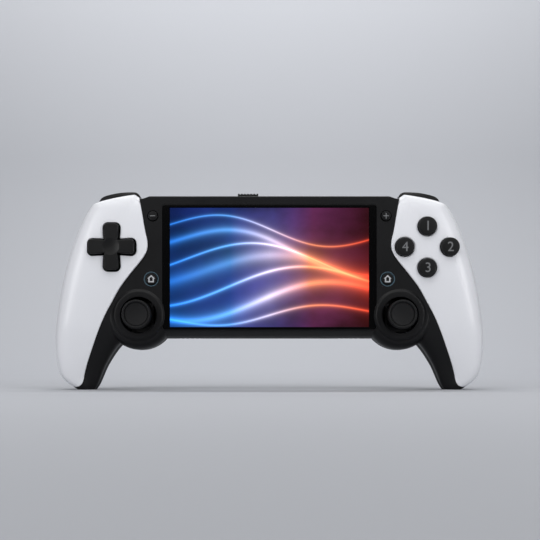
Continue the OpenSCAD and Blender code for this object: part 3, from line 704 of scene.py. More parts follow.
class Finishes:
    """All finishes of the console, each made once."""

    def __init__(self) -> None:
        """Build the materials by name."""
        # White ABS, satin from a fine polished mould: soft wide highlights
        self.white = Moulded("white satin ABS", "e3e4e8", "dfe0e5", 0.29, spread=0.03, grain=0.9,
                             height=0.006, cloud=30.0, specular=0.45).make()
        # Black ABS with a fine spark-eroded grain: dull grey sheen
        self.black = Moulded("black grained ABS", "08080a", "0b0b0d", 0.4, grain=0.8, height=0.02,
                             specular=0.22).make()
        # Soft-touch black of the rear, grained for the hands: swallows light at the flanks. Its black is a
        # little lighter than the front's as painted light, so the unlit back still shows its shape
        self.grip = Moulded("black soft-touch ABS with painted lift", "0b0b0d", "0f0f11", 0.6, grain=1.1, height=0.04,
                            specular=0.1).make()
        # Black polycarbonate keys with a fine matte face: a soft small highlight
        self.key = Moulded("black matte polycarbonate", "09090a", "0c0c0d", 0.4, grain=0.6, height=0.012,
                           specular=0.2, ior=1.58).make()
        # Silicone rubber of the thumb caps: dull, with no sharp highlight
        self.rubber = Moulded("black silicone rubber", "0c0c0d", "101012", 0.55, grain=0.5, height=0.03,
                              specular=0.3, ior=1.41).make()
        # Black ink printed behind the glass: deep black under a polished surface
        self.ink = Moulded("black printed glass edge", "050505", "060607", 0.16, spread=0.02, specular=0.12,
                           height=0.0, cloud=60.0).make()
        # Grey printing ink of the signs on the keys: quiet, readable and matte
        self.sign = Moulded("grey printing ink", "68696b", "6e6f71", 0.5, grain=0.4, height=0.004).make()
        # Paler printing ink of the home signs: stands out from the black key
        self.bright_sign = Moulded("pale printing ink", "b4b6b9", "a9abae", 0.5, grain=0.4,
                                   height=0.004).make()
        # Frosted light guide of the home rings: pale blue grey, unlit
        self.ring = Moulded("frosted light guide", "465b67", "4c626e", 0.4, height=0.004).make()
        # Grey silicone of the key domes: dull and cloudy
        self.dome = Moulded("grey silicone rubber", "6c7075", "74787d", 0.6).make()
        # Glass-filled nylon of the hidden carriers: dull black with a coarse grain
        self.nylon = Moulded("black glass-filled nylon", "131316", "19191c", 0.55, height=0.03).make()
        # Solder lacquer over woven board: green with a faint gloss
        self.board = Moulded("green lacquered board", "1d4a2c", "235434", 0.35, cloud=4.0).make()
        # Aluminium-laminate pouch of the cell: dark grey and slightly creased
        self.pouch = Moulded("dark laminate pouch", "3a3d42", "42454a", 0.3, cloud=6.0, height=0.05).make()
        # Polyimide film of the ribbon: amber with a smooth gloss
        self.film = Moulded("amber polyimide film", "8a5a22", "935f24", 0.3).make()
        # Closed-cell foam of the display gasket: no gloss at all
        self.foam = Moulded("black closed-cell foam", "0e0e0f", "121213", 0.9, grain=0.4, height=0.05).make()
        # Drawn stainless steel of shields, pins and shafts: fine bright lines
        self.steel = Metal("drawn stainless steel", "b9bcc0", 0.34).make()
        # Coated glass over the display: clear, with weak and slightly uneven reflections
        self.glass = CoverGlass().make()


FINISH = Finishes()


def dress(obj: Thing, name: str, body: str, slot: str, finish: Material, *nodes: str,
          smooth: float = 35.0) -> None:
    """Give a finished piece its name, material, smooth shading and body.

    Args:
        obj: The finished piece.
        name: Name of the piece.
        body: CAD body that it moves with.
        slot: Material slot of the record; not used.
        finish: Material, used unless the piece has its own already.
        nodes: CAD nodes that it stands for.
        smooth: Edges sharper than this angle in degrees stay sharp.
    """
    only(obj)
    obj.name = name
    settled()
    if not any(obj.data.materials):
        obj.data.materials.clear()
        obj.data.materials.append(finish)
    bpy.ops.object.shade_smooth_by_angle(angle=math.radians(smooth))
    # Flat faces stay flat beside round edges
    modify(obj, "WEIGHTED_NORMAL", keep_sharp=True)
    if nodes:
        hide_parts(*nodes)
    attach(obj, body)
    LOG.info("%s: %d faces on %s", obj.name, len(obj.data.polygons), body)


# Form of the grips


@dataclass(frozen=True)
class Station:
    """One cross-section of a grip: inner edge, outer edge, ridge, and ridge depths in front and behind."""

    inner: Pair
    outer: Pair
    ridge: Pair
    front: float
    back: float


@dataclass(frozen=True)
class Wing:
    """Form of the right grip, a pillow between its rim and its ridge.

    The power of the rear flank changes from flank to grip_flank between the stations of blend, and crowd
    draws the rings towards the rim.
    """

    stations: tuple[Station, ...] = (
        Station((76.0, 106.3), (76.0, 106.3), (79.0, 93.0), -0.9, 25.0),
        Station((71.6, 105.4), (92.8, 102.7), (79.6, 91.5), -1.0, 26.0),
        Station((62.0, 98.0), (98.5, 98.2), (80.6, 87.0), -1.2, 27.5),
        Station((55.0, 74.0), (105.7, 83.4), (83.2, 77.0), -1.4, 31.0),
        Station((60.0, 47.0), (112.1, 62.6), (88.6, 57.0), -0.9, 36.0),
        Station((71.0, 33.5), (116.3, 38.8), (94.8, 37.0), 0.6, 38.0),
        Station((81.9, 25.2), (117.2, 24.0), (99.0, 25.0), 2.4, 35.0),
        Station((89.5, 14.1), (115.0, 9.0), (101.4, 14.0), 4.4, 30.0),
        Station((95.3, 1.2), (108.2, 1.9), (101.9, 8.5), 5.6, 26.0),
        Station((100.4, -1.6), (100.4, -1.6), (102.0, 7.0), 6.0, 25.0),
    )
    seam: float = 11.0
    flank: float = 4.0
    grip_flank: float = 3.4
    blend: Pair = (3.5, 6.0)
    crowd: float = 1.5

    def rim(self, steps: int, inset: float = 0.0) -> np.ndarray:
        """Closed ring of the rim.

        Args:
            steps: Spans between two stations.
            inset: Distance inward in millimetres.

        Returns:
            Rows of x and z.
        """
        ctrl = np.array([s.inner for s in self.stations] + [s.outer for s in self.stations[-2:0:-1]])
        n = len(ctrl)
        raw = np.array([spline(ctrl[i - 1], ctrl[i], ctrl[(i + 1) % n], ctrl[(i + 2) % n], k / steps)
                        for i in range(n) for k in range(steps)])
        run = np.roll(raw, -1, 0) - np.roll(raw, 1, 0)
        inward = np.stack([-run[:, 1], run[:, 0]], 1) / np.linalg.norm(run, axis=1)[:, None]
        return raw + inset * inward

    def ridge(self, u: float) -> np.ndarray:
        """Ridge at one place.

        Args:
            u: Station, with fractions between two.

        Returns:
            X, z, front depth and back depth.
        """
        rows = np.array([[*s.ridge, s.front, s.back] for s in self.stations])
        last = len(rows) - 1
        i = min(int(u), last - 1)
        return spline(rows[max(i - 1, 0)], rows[i], rows[i + 1], rows[min(i + 2, last)], u - i)

    def along(self, steps: int) -> list[float]:
        """Station that each ring point belongs to."""
        n = 2 * (len(self.stations) - 1) * steps
        return [min(i, n - i) / steps for i in range(n)]

    def ridges(self, steps: int) -> np.ndarray:
        """Ridge that each ring point belongs to."""
        return np.array([self.ridge(u) for u in self.along(steps)])

    def shares(self, theta: np.ndarray) -> tuple[np.ndarray, np.ndarray]:
        """Share of the way to the ridge and share of the depth at a flank angle."""
        power = 2 / self.flank
        return 1 - np.cos(theta) ** power, np.sin(theta) ** power

    def crown(self, k: np.ndarray | float, power: np.ndarray | float) -> np.ndarray:
        """Share of the depth reached at share k of the way from rim to ridge, for a flank power."""
        return (1 - (1 - k) ** power) ** (1 / power)

    def rear_flank(self, u: float) -> float:
        """Power of the rear flank at station u: square behind the keys, rounder in the hand."""
        t = min(max((u - self.blend[0]) / (self.blend[1] - self.blend[0]), 0.0), 1.0)
        return self.flank + (self.grip_flank - self.flank) * t * t * (3 - 2 * t)

    def pillow(self, steps: int, rings: int, inset: float = 0.0, front_in: float = 0.0,
               back_in: float = 0.0) -> Thing:
        """Model the closed right grip.

        Args:
            steps: Spans between two stations.
            rings: Rings between rim and ridge on each face.
            inset: Distance inward at the rim.
            front_in: Distance back from the front.
            back_in: Distance forward from the back.

        Returns:
            The closed solid.
        """
        ring = self.rim(steps, inset)
        ridge = self.ridges(steps)
        power = np.array([self.rear_flank(u) for u in self.along(steps)])
        ks, cs = self.shares(math.pi / 2 * (np.arange(rings + 1) / rings) ** self.crowd)
        ks[-1], cs[-1] = 1.0, 1.0
        levels = [(k, c, 2, front_in) for k, c in zip(ks[::-1], cs[::-1])]
        levels += [(k, self.crown(k, power), 3, -back_in) for k in ks[1:]]
        points = []
        for k, c, which, shift in levels:
            flat = ring + (ridge[:, :2] - ring) * k
            depth = self.seam + (ridge[:, which] + shift - self.seam) * c
            points.append(np.stack([flat[:, 0], depth, flat[:, 1]], 1))
        n = len(ring)
        faces = [(j * n + i, (j + 1) * n + i, (j + 1) * n + (i + 1) % n, j * n + (i + 1) % n)
                 for j in range(len(levels) - 1) for i in range(n)]
        return from_points(np.concatenate(points), faces)


WING = Wing()


# White faceplates


@dataclass
class Faceplates:
    """The two white faceplates that clip over the grips.

    Steps and columns set the grid, the crowds draw it towards its edges, turns are the steps across the
    rounded inner edge, and fade is the share of a ray over which that edge takes over from the rim.
    """

    thick: float = 1.8
    lip: float = 10.4
    round_edge: float = 0.55
    pad_gap: float = 0.872
    pad_mouth: float = -1.3
    button_hole: float = 5.3
    button_mouth: float = -1.2
    chamfer: float = 0.3
    through: Pair = (-8.0, 8.0)
    steps: int = 18
    columns: int = 30
    rim_crowd: float = 1.7
    edge_crowd: float = 1.15
    turns: int = 6
    fade: float = 0.05
    edge: tuple[Pair, ...] = (
        (75.0, 112.0), (71.9, 106.4), (70.0, 102.4), (69.0, 96.8), (67.1, 86.0), (65.8, 79.8), (66.4, 74.6),
        (69.7, 69.4), (75.0, 62.9), (80.6, 55.4), (85.2, 47.3), (89.0, 40.2), (92.4, 32.6), (95.4, 24.9),
        (98.9, 15.3), (100.8, 8.9), (101.6, 5.5), (102.7, 2.9), (104.8, 1.6), (107.6, 1.5), (112.0, 1.7))

    def inner_edge(self) -> list[Pair]:
        """Smooth inner edge of the white zone in x and z."""
        return open_curve(self.edge, 10)

    def zone(self) -> list[Pair]:
        """Outline of the white zone in x and z."""
        return self.inner_edge() + [(126.0, 1.7), (126.0, 112.0)]

    def leave(self, ring: np.ndarray, ridge: np.ndarray) -> np.ndarray:
        """Share of the way from rim to ridge where each ray crosses the inner edge of the zone.

        Args:
            ring: Rim points as x and z.
            ridge: Ridge points as x and z.

        Returns:
            One share for each ray, 0 where the ray never leaves the zone.
        """
        tiny = 1e-12
        edge = np.array(self.inner_edge())
        found = np.zeros(len(ring))
        a, b = edge[:-1], edge[1:]
        for i, (p, g) in enumerate(zip(ring, ridge)):
            run, side, gap = g - p, b - a, a - p
            cross = run[0] * side[:, 1] - run[1] * side[:, 0]
            cross[np.abs(cross) < tiny] = tiny
            t = (gap[:, 0] * side[:, 1] - gap[:, 1] * side[:, 0]) / cross
            s = (gap[:, 0] * run[1] - gap[:, 1] * run[0]) / cross
            hits = t[(s >= 0) & (s <= 1) & (t >= 0) & (t <= 1)]
            found[i] = hits.max() if len(hits) else 0.0
        return found

    def blank(self) -> Thing:
        """Model the right plate without openings: skin, rounded inner edge, wall and inner face.

        Returns:
            The closed plate.
        """
        ring, ridge = WING.rim(self.steps), WING.ridges(self.steps)
        n, m = len(ring), self.columns
        leave = self.leave(ring, ridge[:, :2])
        share = (np.arange(m + 1) / m) ** self.rim_crowd
        curl = 1 - np.cos(math.pi / 2 * np.arange(self.turns + 1) / self.turns)
        rest = (np.arange(1, m - self.turns + 1) / (m - self.turns)) ** self.edge_crowd
        points = np.zeros((n, m + 1, 3))
        drop = np.zeros((n, m + 1))
        for i in range(n):
            foot = math.asin(((WING.seam - self.lip) / (WING.seam - ridge[i, 2])) ** (WING.flank / 2))
            outer = WING.shares(foot + (math.pi / 2 - foot) * share)[0]
            length = float(np.linalg.norm(ridge[i, :2] - ring[i]))
            reach = length * (1 - leave[i])
            bend = min(self.round_edge, reach * 0.4)
            away = np.concatenate([bend * curl, bend + (reach - bend) * rest])
            weight = float(np.clip(leave[i] / self.fade, 0, 1))
            k = np.clip(outer + (leave[i] + away / length - outer) * weight, 0, 1)
            k[-1] = 1.0
            flat = ring[i] + (ridge[i, :2] - ring[i]) * k[:, None]
            points[i, :, 0], points[i, :, 2] = flat[:, 0], flat[:, 1]
            points[i, :, 1] = WING.seam + (ridge[i, 2] - WING.seam) * WING.crown(k, WING.flank)
            left = np.clip(bend - away, 0, bend)
            drop[i] = weight * (bend - np.sqrt(np.maximum(bend ** 2 - left ** 2, 0)))
        inner = points - self.thick * self.outward(points)
        points[:, :, 1] += drop
        size = n * (m + 1)
        faces = []
        for i in range(n):
            a, b = i * (m + 1), (i + 1) % n * (m + 1)
            for j in range(m):
                faces.append((a + j, a + j + 1, b + j + 1, b + j))
                faces.append((size + a + j, size + b + j, size + b + j + 1, size + a + j + 1))
            faces.append((a, b, size + b, size + a))
        return from_points(np.concatenate([points.reshape(-1, 3), inner.reshape(-1, 3)]), faces)

    def outward(self, points: np.ndarray) -> np.ndarray:
        """Outward normals of a grid of points that is closed in its first direction.

        Args:
            points: The grid, from rim to ridge in its second direction.

        Returns:
            One unit normal for each point.
        """
        tiny, forward = 1e-9, (0.0, -1.0, 0.0)
        run = np.roll(points, -1, 0) - np.roll(points, 1, 0)
        normal = np.cross(run, np.gradient(points, axis=1))
        size = np.linalg.norm(normal, axis=2, keepdims=True)
        normal = np.where(size > tiny, normal / np.maximum(size, tiny), np.array(forward))
        if normal[:, :, 1].mean() > 0:
            normal = -normal
        normal[:, -1] = forward
        return normal

    def build(self) -> None:
        """Model both plates, open them for the keys and dress them."""
        right = self.blank()
        left = mirrored(right)
        combine(right, Combine.CUT, *[
            flared(x, z, self.button_hole, self.chamfer, self.button_mouth, self.through, 96)
            for x, z in FaceButtons().spots()])
        pad, foot = DirectionPad(), self.pad_mouth + self.chamfer
        hole = prism(pad.outline(self.pad_gap), *self.through)
        wide = prism(pad.outline(self.pad_gap + self.chamfer), self.through[0], foot)
        combine(left, Combine.CUT, hole, bevel_at(wide, foot, self.chamfer, 1))
        for word, plate in (("right", right), ("left", left)):
            dress(plate, f"{word}_white_faceplate", "console", "white_shell", FINISH.white,
                  f"{word}_faceplate", smooth=40)


# Black housings


@dataclass
class Housings:
    """Front and rear black housing, moulded as one envelope and parted at the seam.

    Panes are width, height and corner radius, and ahead is the depth where the tools start in front.
    The slots of card and slider are two corners as x, depth and z, and speaker is x and depth of its
    middle slot. Each case screw has a post, a hole for its head and a hole for its thread.
    """

    half: float = 74.0
    top: float = 104.8
    low: float = 28.2
    deep: float = 20.5
    wall: float = 2.2
    skin: float = 1.8
    stick: Pair = (70.7, 40.4)
    stick_hole: float = 12.42
    boss_r: float = 18.6
    boss_face: float = 14.6
    gap: float = 0.06
    ahead: float = -3.0
    ledge: Triple = (115.9, 67.5, 1.5)
    window: Triple = (108.8, 65.4, 0.8)
    pad_hole: float = 14.8
    button_hole: float = 5.3
    button_room: float = 5.9
    ring_hole: float = 4.08
    screws: tuple[Pair, ...] = ((60.3, 72.0), (103.0, 50.0), (101.0, 17.0))
    post_r: float = 4.2
    head_r: float = 2.7
    thread_r: float = 1.25
    usb: Triple = (9.5, 3.7, 1.6)
    usb_depth: float = 10.9
    headphone: Triple = (30.0, 11.9, 29.0)
    headphone_r: float = 2.9
    card: tuple[Triple, Triple] = ((-36.8, 9.1, 25.0), (-23.2, 11.1, 34.0))
    slider: tuple[Triple, Triple] = ((-15.0, 4.1, 101.0), (-5.2, 6.5, 107.0))
    speaker: Pair = (44.0, 14.2)
    speaker_slot: Triple = (1.2, 3.6, 0.59)
    speaker_pitch: float = 2.6
    vent: Triple = (1.6, 4.8, 0.79)
    vent_z: float = 97.0
    vent_pitch: float = 5.0

    def profile(self) -> list[Pair]:
        """Outline of the centre body in depth and z, with round edges.

        Returns:
            The corners.
        """
        chin = open_curve([(0.0, 32.6), (0.5, 31.9), (2.5, 30.5), (5.0, 29.1), (8.0, self.low)], 4)
        heel = open_curve([(15.0, self.low), (18.0, 30.0), (20.0, 32.6), (self.deep, 35.0)], 4)
        crown = open_curve([(self.deep, 99.0), (19.6, 102.0), (18.0, 103.8), (15.5, self.top)], 4)
        return chin + heel + crown + arc(0.8, self.top - 0.8, 0.8, 90, 180, 4)

    def centre(self) -> Thing:
        """Model the centre body with its sloping top corners.

        Returns:
            The solid.
        """
        body = bar(self.profile(), -self.half, self.half)
        rise = open_curve([(61.0, 106.0), (63.5, 105.2), (68.3, 103.4), (self.half, 102.4)], 4)
        roof = [(-x, z) for x, z in reversed(rise)] + rise + [(self.half, 20.0), (-self.half, 20.0)]
        return combine(body, Combine.KEEP, prism(roof, -1, 30))

    def boss(self, x: float) -> Thing:
        """Model the round boss behind a stick.

        Args:
            x: Side distance of the stick.

        Returns:
            The solid.
        """
        front = arc(self.boss_face, 7, self.boss_r - self.boss_face, -90, 0, 12, tall=7)
        back = arc(self.boss_r - 5, self.deep - 6, 5, 0, 90, 12, tall=6)
        return lathe(x, self.stick[1], [(0, 0), *front, *back, (0, self.deep)], 128)

    def envelope(self) -> Thing:
        """Model the outside of both housings together.

        Returns:
            The solid.
        """
        whole = self.centre()
        grip = WING.pillow(12, 20)
        bosses = [self.boss(side.value * self.stick[0]) for side in Side]
        return combine(whole, Combine.ADD, mirrored(grip), grip, *bosses)

    def pocket(self, side: Side, grow: float = 0.0) -> Thing:
        """Model the pocket for bumper and trigger.

        Args:
            side: Side of the console.
            grow: Distance that it is larger all round.

        Returns:
            The solid that the pocket leaves free.
        """
        g = grow
        outline = [(9.9 - g, 116), (9.9 - g, 97.2 - g), (17 - g, 97.2 - g), (17 - g, 94 - g),
                   (23 - g / 2, 94 - g), (26.5 - g, 81 - g), (48, 81 - g), (48, 116)]
        x0, x1 = sorted((side.value * (68.8 - g), side.value * (96.6 + g)))
        return bar(outline, x0, x1)

    def hollow(self) -> Thing:
        """Model the space inside both housings.

        Returns:
            The solid that the space takes up.
        """
        back, low, top = self.deep - self.wall, self.low + self.wall, self.top - self.wall
        outline = [(2.3, 32.6), (5, 31.4), (8, low), (15, low), (17, 32.6), (back, 36), (back, 98),
                   (17, 101.4), (14.8, top), (2.3, top)]
        room = bar(outline, 2 - self.half, self.half - 2)
        inside = WING.pillow(4, 8, 3.2, 3.4, self.wall)
        combine(inside, Combine.ADD, rod(*self.stick, self.boss_r - self.wall, 2.7, back - 0.4))
        combine(inside, Combine.CUT, self.pocket(Side.RIGHT, self.skin))
        return combine(room, Combine.ADD, mirrored(inside), inside)

    def seat(self) -> Thing:
        """Model the space under the right faceplate."""
        zone = prism(Faceplates().zone(), -6, Faceplates().lip)
        return combine(zone, Combine.CUT, WING.pillow(6, 12, self.skin, self.skin, self.skin))

    def ports(self) -> list[Thing]:
        """Model the tools for the USB-C socket, the headphone socket and the card slot."""
        return [column(round_pane(*self.usb, 0, self.usb_depth), 25, 34),
                round_bar(self.headphone, self.headphone_r, 8), block(*self.card)]

    def front(self, envelope: Thing, hollow: Thing) -> Thing:
        """Part the front housing from the envelope and open it.

        Args:
            envelope: Outside of both housings.
            hollow: Space inside both housings.

        Returns:
            The front housing.
        """
        half = block((-130, 0, 0), (130, WING.seam - self.gap, 120))
        part = combine(copy_of(envelope), Combine.KEEP, half)
        combine(part, Combine.CUT, hollow, keep=True)
        seat, start = self.seat(), self.ahead
        screen, pad, keys = Screen(), DirectionPad(), SmallKeys()
        tools = [mirrored(seat), seat,
                 prism(round_pane(*self.ledge, 0, screen.mid_z), start, 1.3),
                 prism(round_pane(*self.window, 0, screen.mid_z), start, 3.3),
                 rod(pad.x, pad.z, self.pad_hole, start, 5, 96)]
        for x, z in FaceButtons().spots():
            tools += [rod(x, z, self.button_hole, start, 5), rod(x, z, self.button_room, 3.15, 8)]
        for side in Side:
            s = side.value
            tools += [self.pocket(side),
                      rod(s * self.stick[0], self.stick[1], self.stick_hole, start, 5, 96)]
            for (x, z, r), air, rim in ((keys.small, 0.2, 0.25), (keys.home, 0.25, 0.0)):
                tools.append(flared(s * x, z, r + air, rim, 0, (start, 5), 64))
            x, z = keys.home[:2]
            tools.append(rod(s * x, z, self.ring_hole, start, 1.2))
        return combine(part, Combine.CUT, *tools, block(*self.slider), *self.ports())

    def rear(self, envelope: Thing, hollow: Thing) -> Thing:
        """Part the rear housing from the envelope and open it.

        Args:
            envelope: Outside of both housings.
            hollow: Space inside both housings.

        Returns:
            The rear housing.
        """
        half = block((-130, WING.seam + self.gap, 0), (130, 60, 120))
        part = combine(copy_of(envelope), Combine.KEEP, half)
        combine(part, Combine.CUT, hollow, keep=True)
        for side in Side:
            s = side.value
            combine(part, Combine.CUT, self.pocket(side))
            for x, z in self.screws:
                tube = rod(s * x, z, self.post_r, WING.seam + 0.1, 45)
                combine(part, Combine.ADD, combine(tube, Combine.KEEP, envelope, keep=True))
            for x, z in self.screws:
                combine(part, Combine.CUT, rod(s * x, z, self.head_r, 16, 50),
                        rod(s * x, z, self.thread_r, 10, 20, 24))
            mid, deep = s * self.speaker[0], self.speaker[1]
            slots = [round_pane(*self.speaker_slot, mid + self.speaker_pitch * i, deep) for i in range(-2, 3)]
            combine(part, Combine.CUT, *[column(slot, 26, 31.2) for slot in slots])
        vents = [round_pane(*self.vent, self.vent_pitch * i, self.vent_z) for i in range(-4, 5)]
        return combine(part, Combine.CUT, *[prism(vent, 16, 24) for vent in vents], *self.ports())

    def build(self) -> None:
        """Model and dress both housings."""
        envelope, hollow = self.envelope(), self.hollow()
        front, rear = self.front(envelope, hollow), self.rear(envelope, hollow)
        for rest in (envelope, hollow):
            bpy.data.objects.remove(rest, do_unlink=True)
        dress(front, "front_shell", "console", "black_shell", FINISH.black, "front_housing", smooth=32)
        dress(rear, "rear_shell", "console", "black_shell", FINISH.grip, "rear_housing", smooth=32)


# Screen


@dataclass
class Screen:
    """Cover glass with its black printed border, and the lit display behind it.

    Panes are width, height and corner radius, and each has its depth in front and behind.
    """

    picture: Pair = (108.0, 64.8)
    mid_z: float = 66.4
    glass: Triple = (115.6, 67.2, 1.4)
    glass_depth: Pair = (0.1, 1.3)
    glass_edge: float = 0.15
    panel: Triple = (112.4, 66.8, 0.6)
    panel_depth: Pair = (2.8, 5.8)

    def build(self) -> None:
        """Model and dress the glass and the display."""
        glass = prism(round_pane(*self.glass, 0, self.mid_z), *self.glass_depth)
        bevel_at(glass, self.glass_depth[0], self.glass_edge, 2)
        self.divide(glass, FINISH.glass)
        dress(glass, "cover_glass", "console", "screen_glass", FINISH.ink, "screen_glass", smooth=5)
        panel = prism(round_pane(*self.panel, 0, self.mid_z), *self.panel_depth)
        # Glowing pixels: the only light that the console gives off
        lit = LitPicture("lit display pixels", self.picture[0] / 2, self.picture[1] / 2, self.mid_z).make()
        self.divide(panel, lit, front_only=True)
        dress(panel, "lit_display", "console", "display", FINISH.ink, "lcd_panel", smooth=5)

    def divide(self, sheet: Thing, inside: Material, front_only: bool = False) -> None:
        """Divide a black sheet at the picture's edges and give the middle another finish.

        Args:
            sheet: Glass or display.
            inside: Finish of the middle.
            front_only: Whether the back of the middle stays black.
        """
        half_w, half_h = self.picture[0] / 2, self.picture[1] / 2
        across, up = (1, 0, 0), (0, 0, 1)
        edit(sheet)
        for x, z, normal in ((half_w, 0, across), (-half_w, 0, across), (0, half_h, up), (0, -half_h, up)):
            bpy.ops.mesh.select_all(action="SELECT")
            bpy.ops.mesh.bisect(plane_co=at(x, 0, self.mid_z + z), plane_no=normal)
        bpy.ops.object.mode_set(mode="OBJECT")
        sheet.data.materials.append(FINISH.ink)
        sheet.data.materials.append(inside)
        for face in sheet.data.polygons:
            middle = face.center
            within = abs(middle.x) < half_w * MM and abs(middle.z - self.mid_z * MM) < half_h * MM
            face.material_index = 1 if within and (face.normal.y < -0.5 or not front_only) else 0


# Keys


@dataclass
class DirectionPad:
    """Cross-shaped direction pad with a shallow thumb dish, a flange behind and two bearing ears.

    Flange, relief and ears have their depths in front and behind.
    """

    x: float = -85.1
    z: float = 77.1
    span: float = 25.0
    root: float = 3.6
    tip: float = 4.0
    corner: float = 2.0
    front: float = -3.9
    back: float = 2.6
    edge: float = 0.6
    dish: float = 0.6
    dish_r: float = 18.0
    flange_r: float = 11.2
    flange: Pair = (2.5, 3.8)
    relief_r: float = 5.0
    relief: Pair = (3.2, 4.0)
    pivot: float = 4.7
    ear: float = 3.4
    ear_half: Pair = (1.2, 0.5)
    ear_depth: Pair = (3.0, 5.35)
    bore_r: float = 0.5
    bore: float = 8.8

    def outline(self, grow: float = 0.0) -> list[Pair]:
        """Outline of the cross in x and z.

        Args:
            grow: Gap that it is larger all round.

        Returns:
            The corners.
        """
        root, c = self.root + grow, self.corner
        half = [(root, root), *arc(self.tip - c, self.span / 2 - c, c + grow, 0, 90, 8)]
        return quarters(half + [(-x, z) for x, z in reversed(half[1:])], self.x, self.z)

    def build(self) -> None:
        """Model and dress the pad."""
        spot, base = (self.x, self.z), self.front + self.dish
        pad = bevel_at(prism(self.outline(), self.front, self.back), self.front, self.edge, 8)
        bowl = [(r, base - self.dish_r + math.sqrt(self.dish_r ** 2 - r * r))
                for r in np.linspace(0.6, 4.6, 8)]
        above = self.front - 1
        combine(pad, Combine.CUT, lathe(*spot, [(0, base), *bowl, (6, above), (0, above)], 64))
        combine(pad, Combine.ADD, rod(*spot, self.flange_r, *self.flange))
        combine(pad, Combine.CUT, rod(*spot, self.relief_r, *self.relief))
        (w, h), (d0, d1) = self.ear_half, self.ear_depth
        combine(pad, Combine.ADD, *[
            block((self.x - w, d0, z - h), (self.x + w, d1, z + h))
            for z in (self.z - self.ear, self.z + self.ear)])
        combine(pad, Combine.CUT, round_bar((self.x, self.pivot, self.z), self.bore_r, self.bore))
        dress(pad, "direction_pad", "dpad", "key_plastic", FINISH.key, "dpad", smooth=13)


@dataclass
class FaceButtons:
    """Four round buttons with plain numerals."""

    x: float = 85.1
    z: float = 77.1
    dx: float = 12.2
    dz: float = 11.2
    r: float = 5.0
    flat_r: float = 4.2
    front: float = -3.7
    ink: float = 0.09
    type_size: float = 7.4

    def spots(self) -> list[Pair]:
        """Places of the buttons: north, east, south and west."""
        return [(self.x, self.z + self.dz), (self.x + self.dx, self.z), (self.x, self.z - self.dz),
                (self.x - self.dx, self.z)]

    def build(self) -> None:
        """Model and dress the buttons and their numerals."""
        bend = self.r - self.flat_r
        top = [(r, self.front + 0.1 * (r / self.flat_r) ** 2) for r in np.linspace(0, self.flat_r, 8)]
        edge = arc(self.flat_r, -2.8, bend, math.degrees(0.2) - 90, 0, 8)
        stem = [(self.r, 3.3), (5.7, 3.3), (5.7, 4.1), (3.2, 4.1), (3.2, 4.7), (0, 4.7)]
        for number, (name, (x, z)) in enumerate(zip(("north", "east", "south", "west"), self.spots()), 1):
            body, key = f"button_{name}", lathe(x, z, [*top, *edge, *stem])
            dress(key, f"face_{body}", body, "key_plastic", FINISH.key, body, smooth=40)
            dress(self.numeral(number, x, z), f"numeral_{number}", body, "key_plastic", FINISH.sign)

    def numeral(self, number: int, x: float, z: float) -> Thing:
        """Model the ink of a plain numeral on a button.

        Args:
            number: The numeral.
            x: Side distance of its middle.
            z: Height of its middle.

        Returns:
            The numeral.
        """
        start_fresh()
        bpy.ops.object.text_add(location=at(x, self.front + 0.06, z), rotation=(math.pi / 2, 0, 0))
        text = bpy.context.object.data
        text.body = str(number)
        text.size = self.type_size * MM
        text.align_x = "CENTER"
        text.align_y = "CENTER"
        text.extrude = self.ink * MM
        text.resolution_u = 6
        bpy.ops.object.convert(target="MESH")
        obj = settled()
        middle = (Vector(obj.bound_box[0]) + Vector(obj.bound_box[6])) / 2
        edit(obj)
        bpy.ops.transform.translate(value=(x * MM - middle.x, 0, z * MM - middle.z))
        return clean(obj)


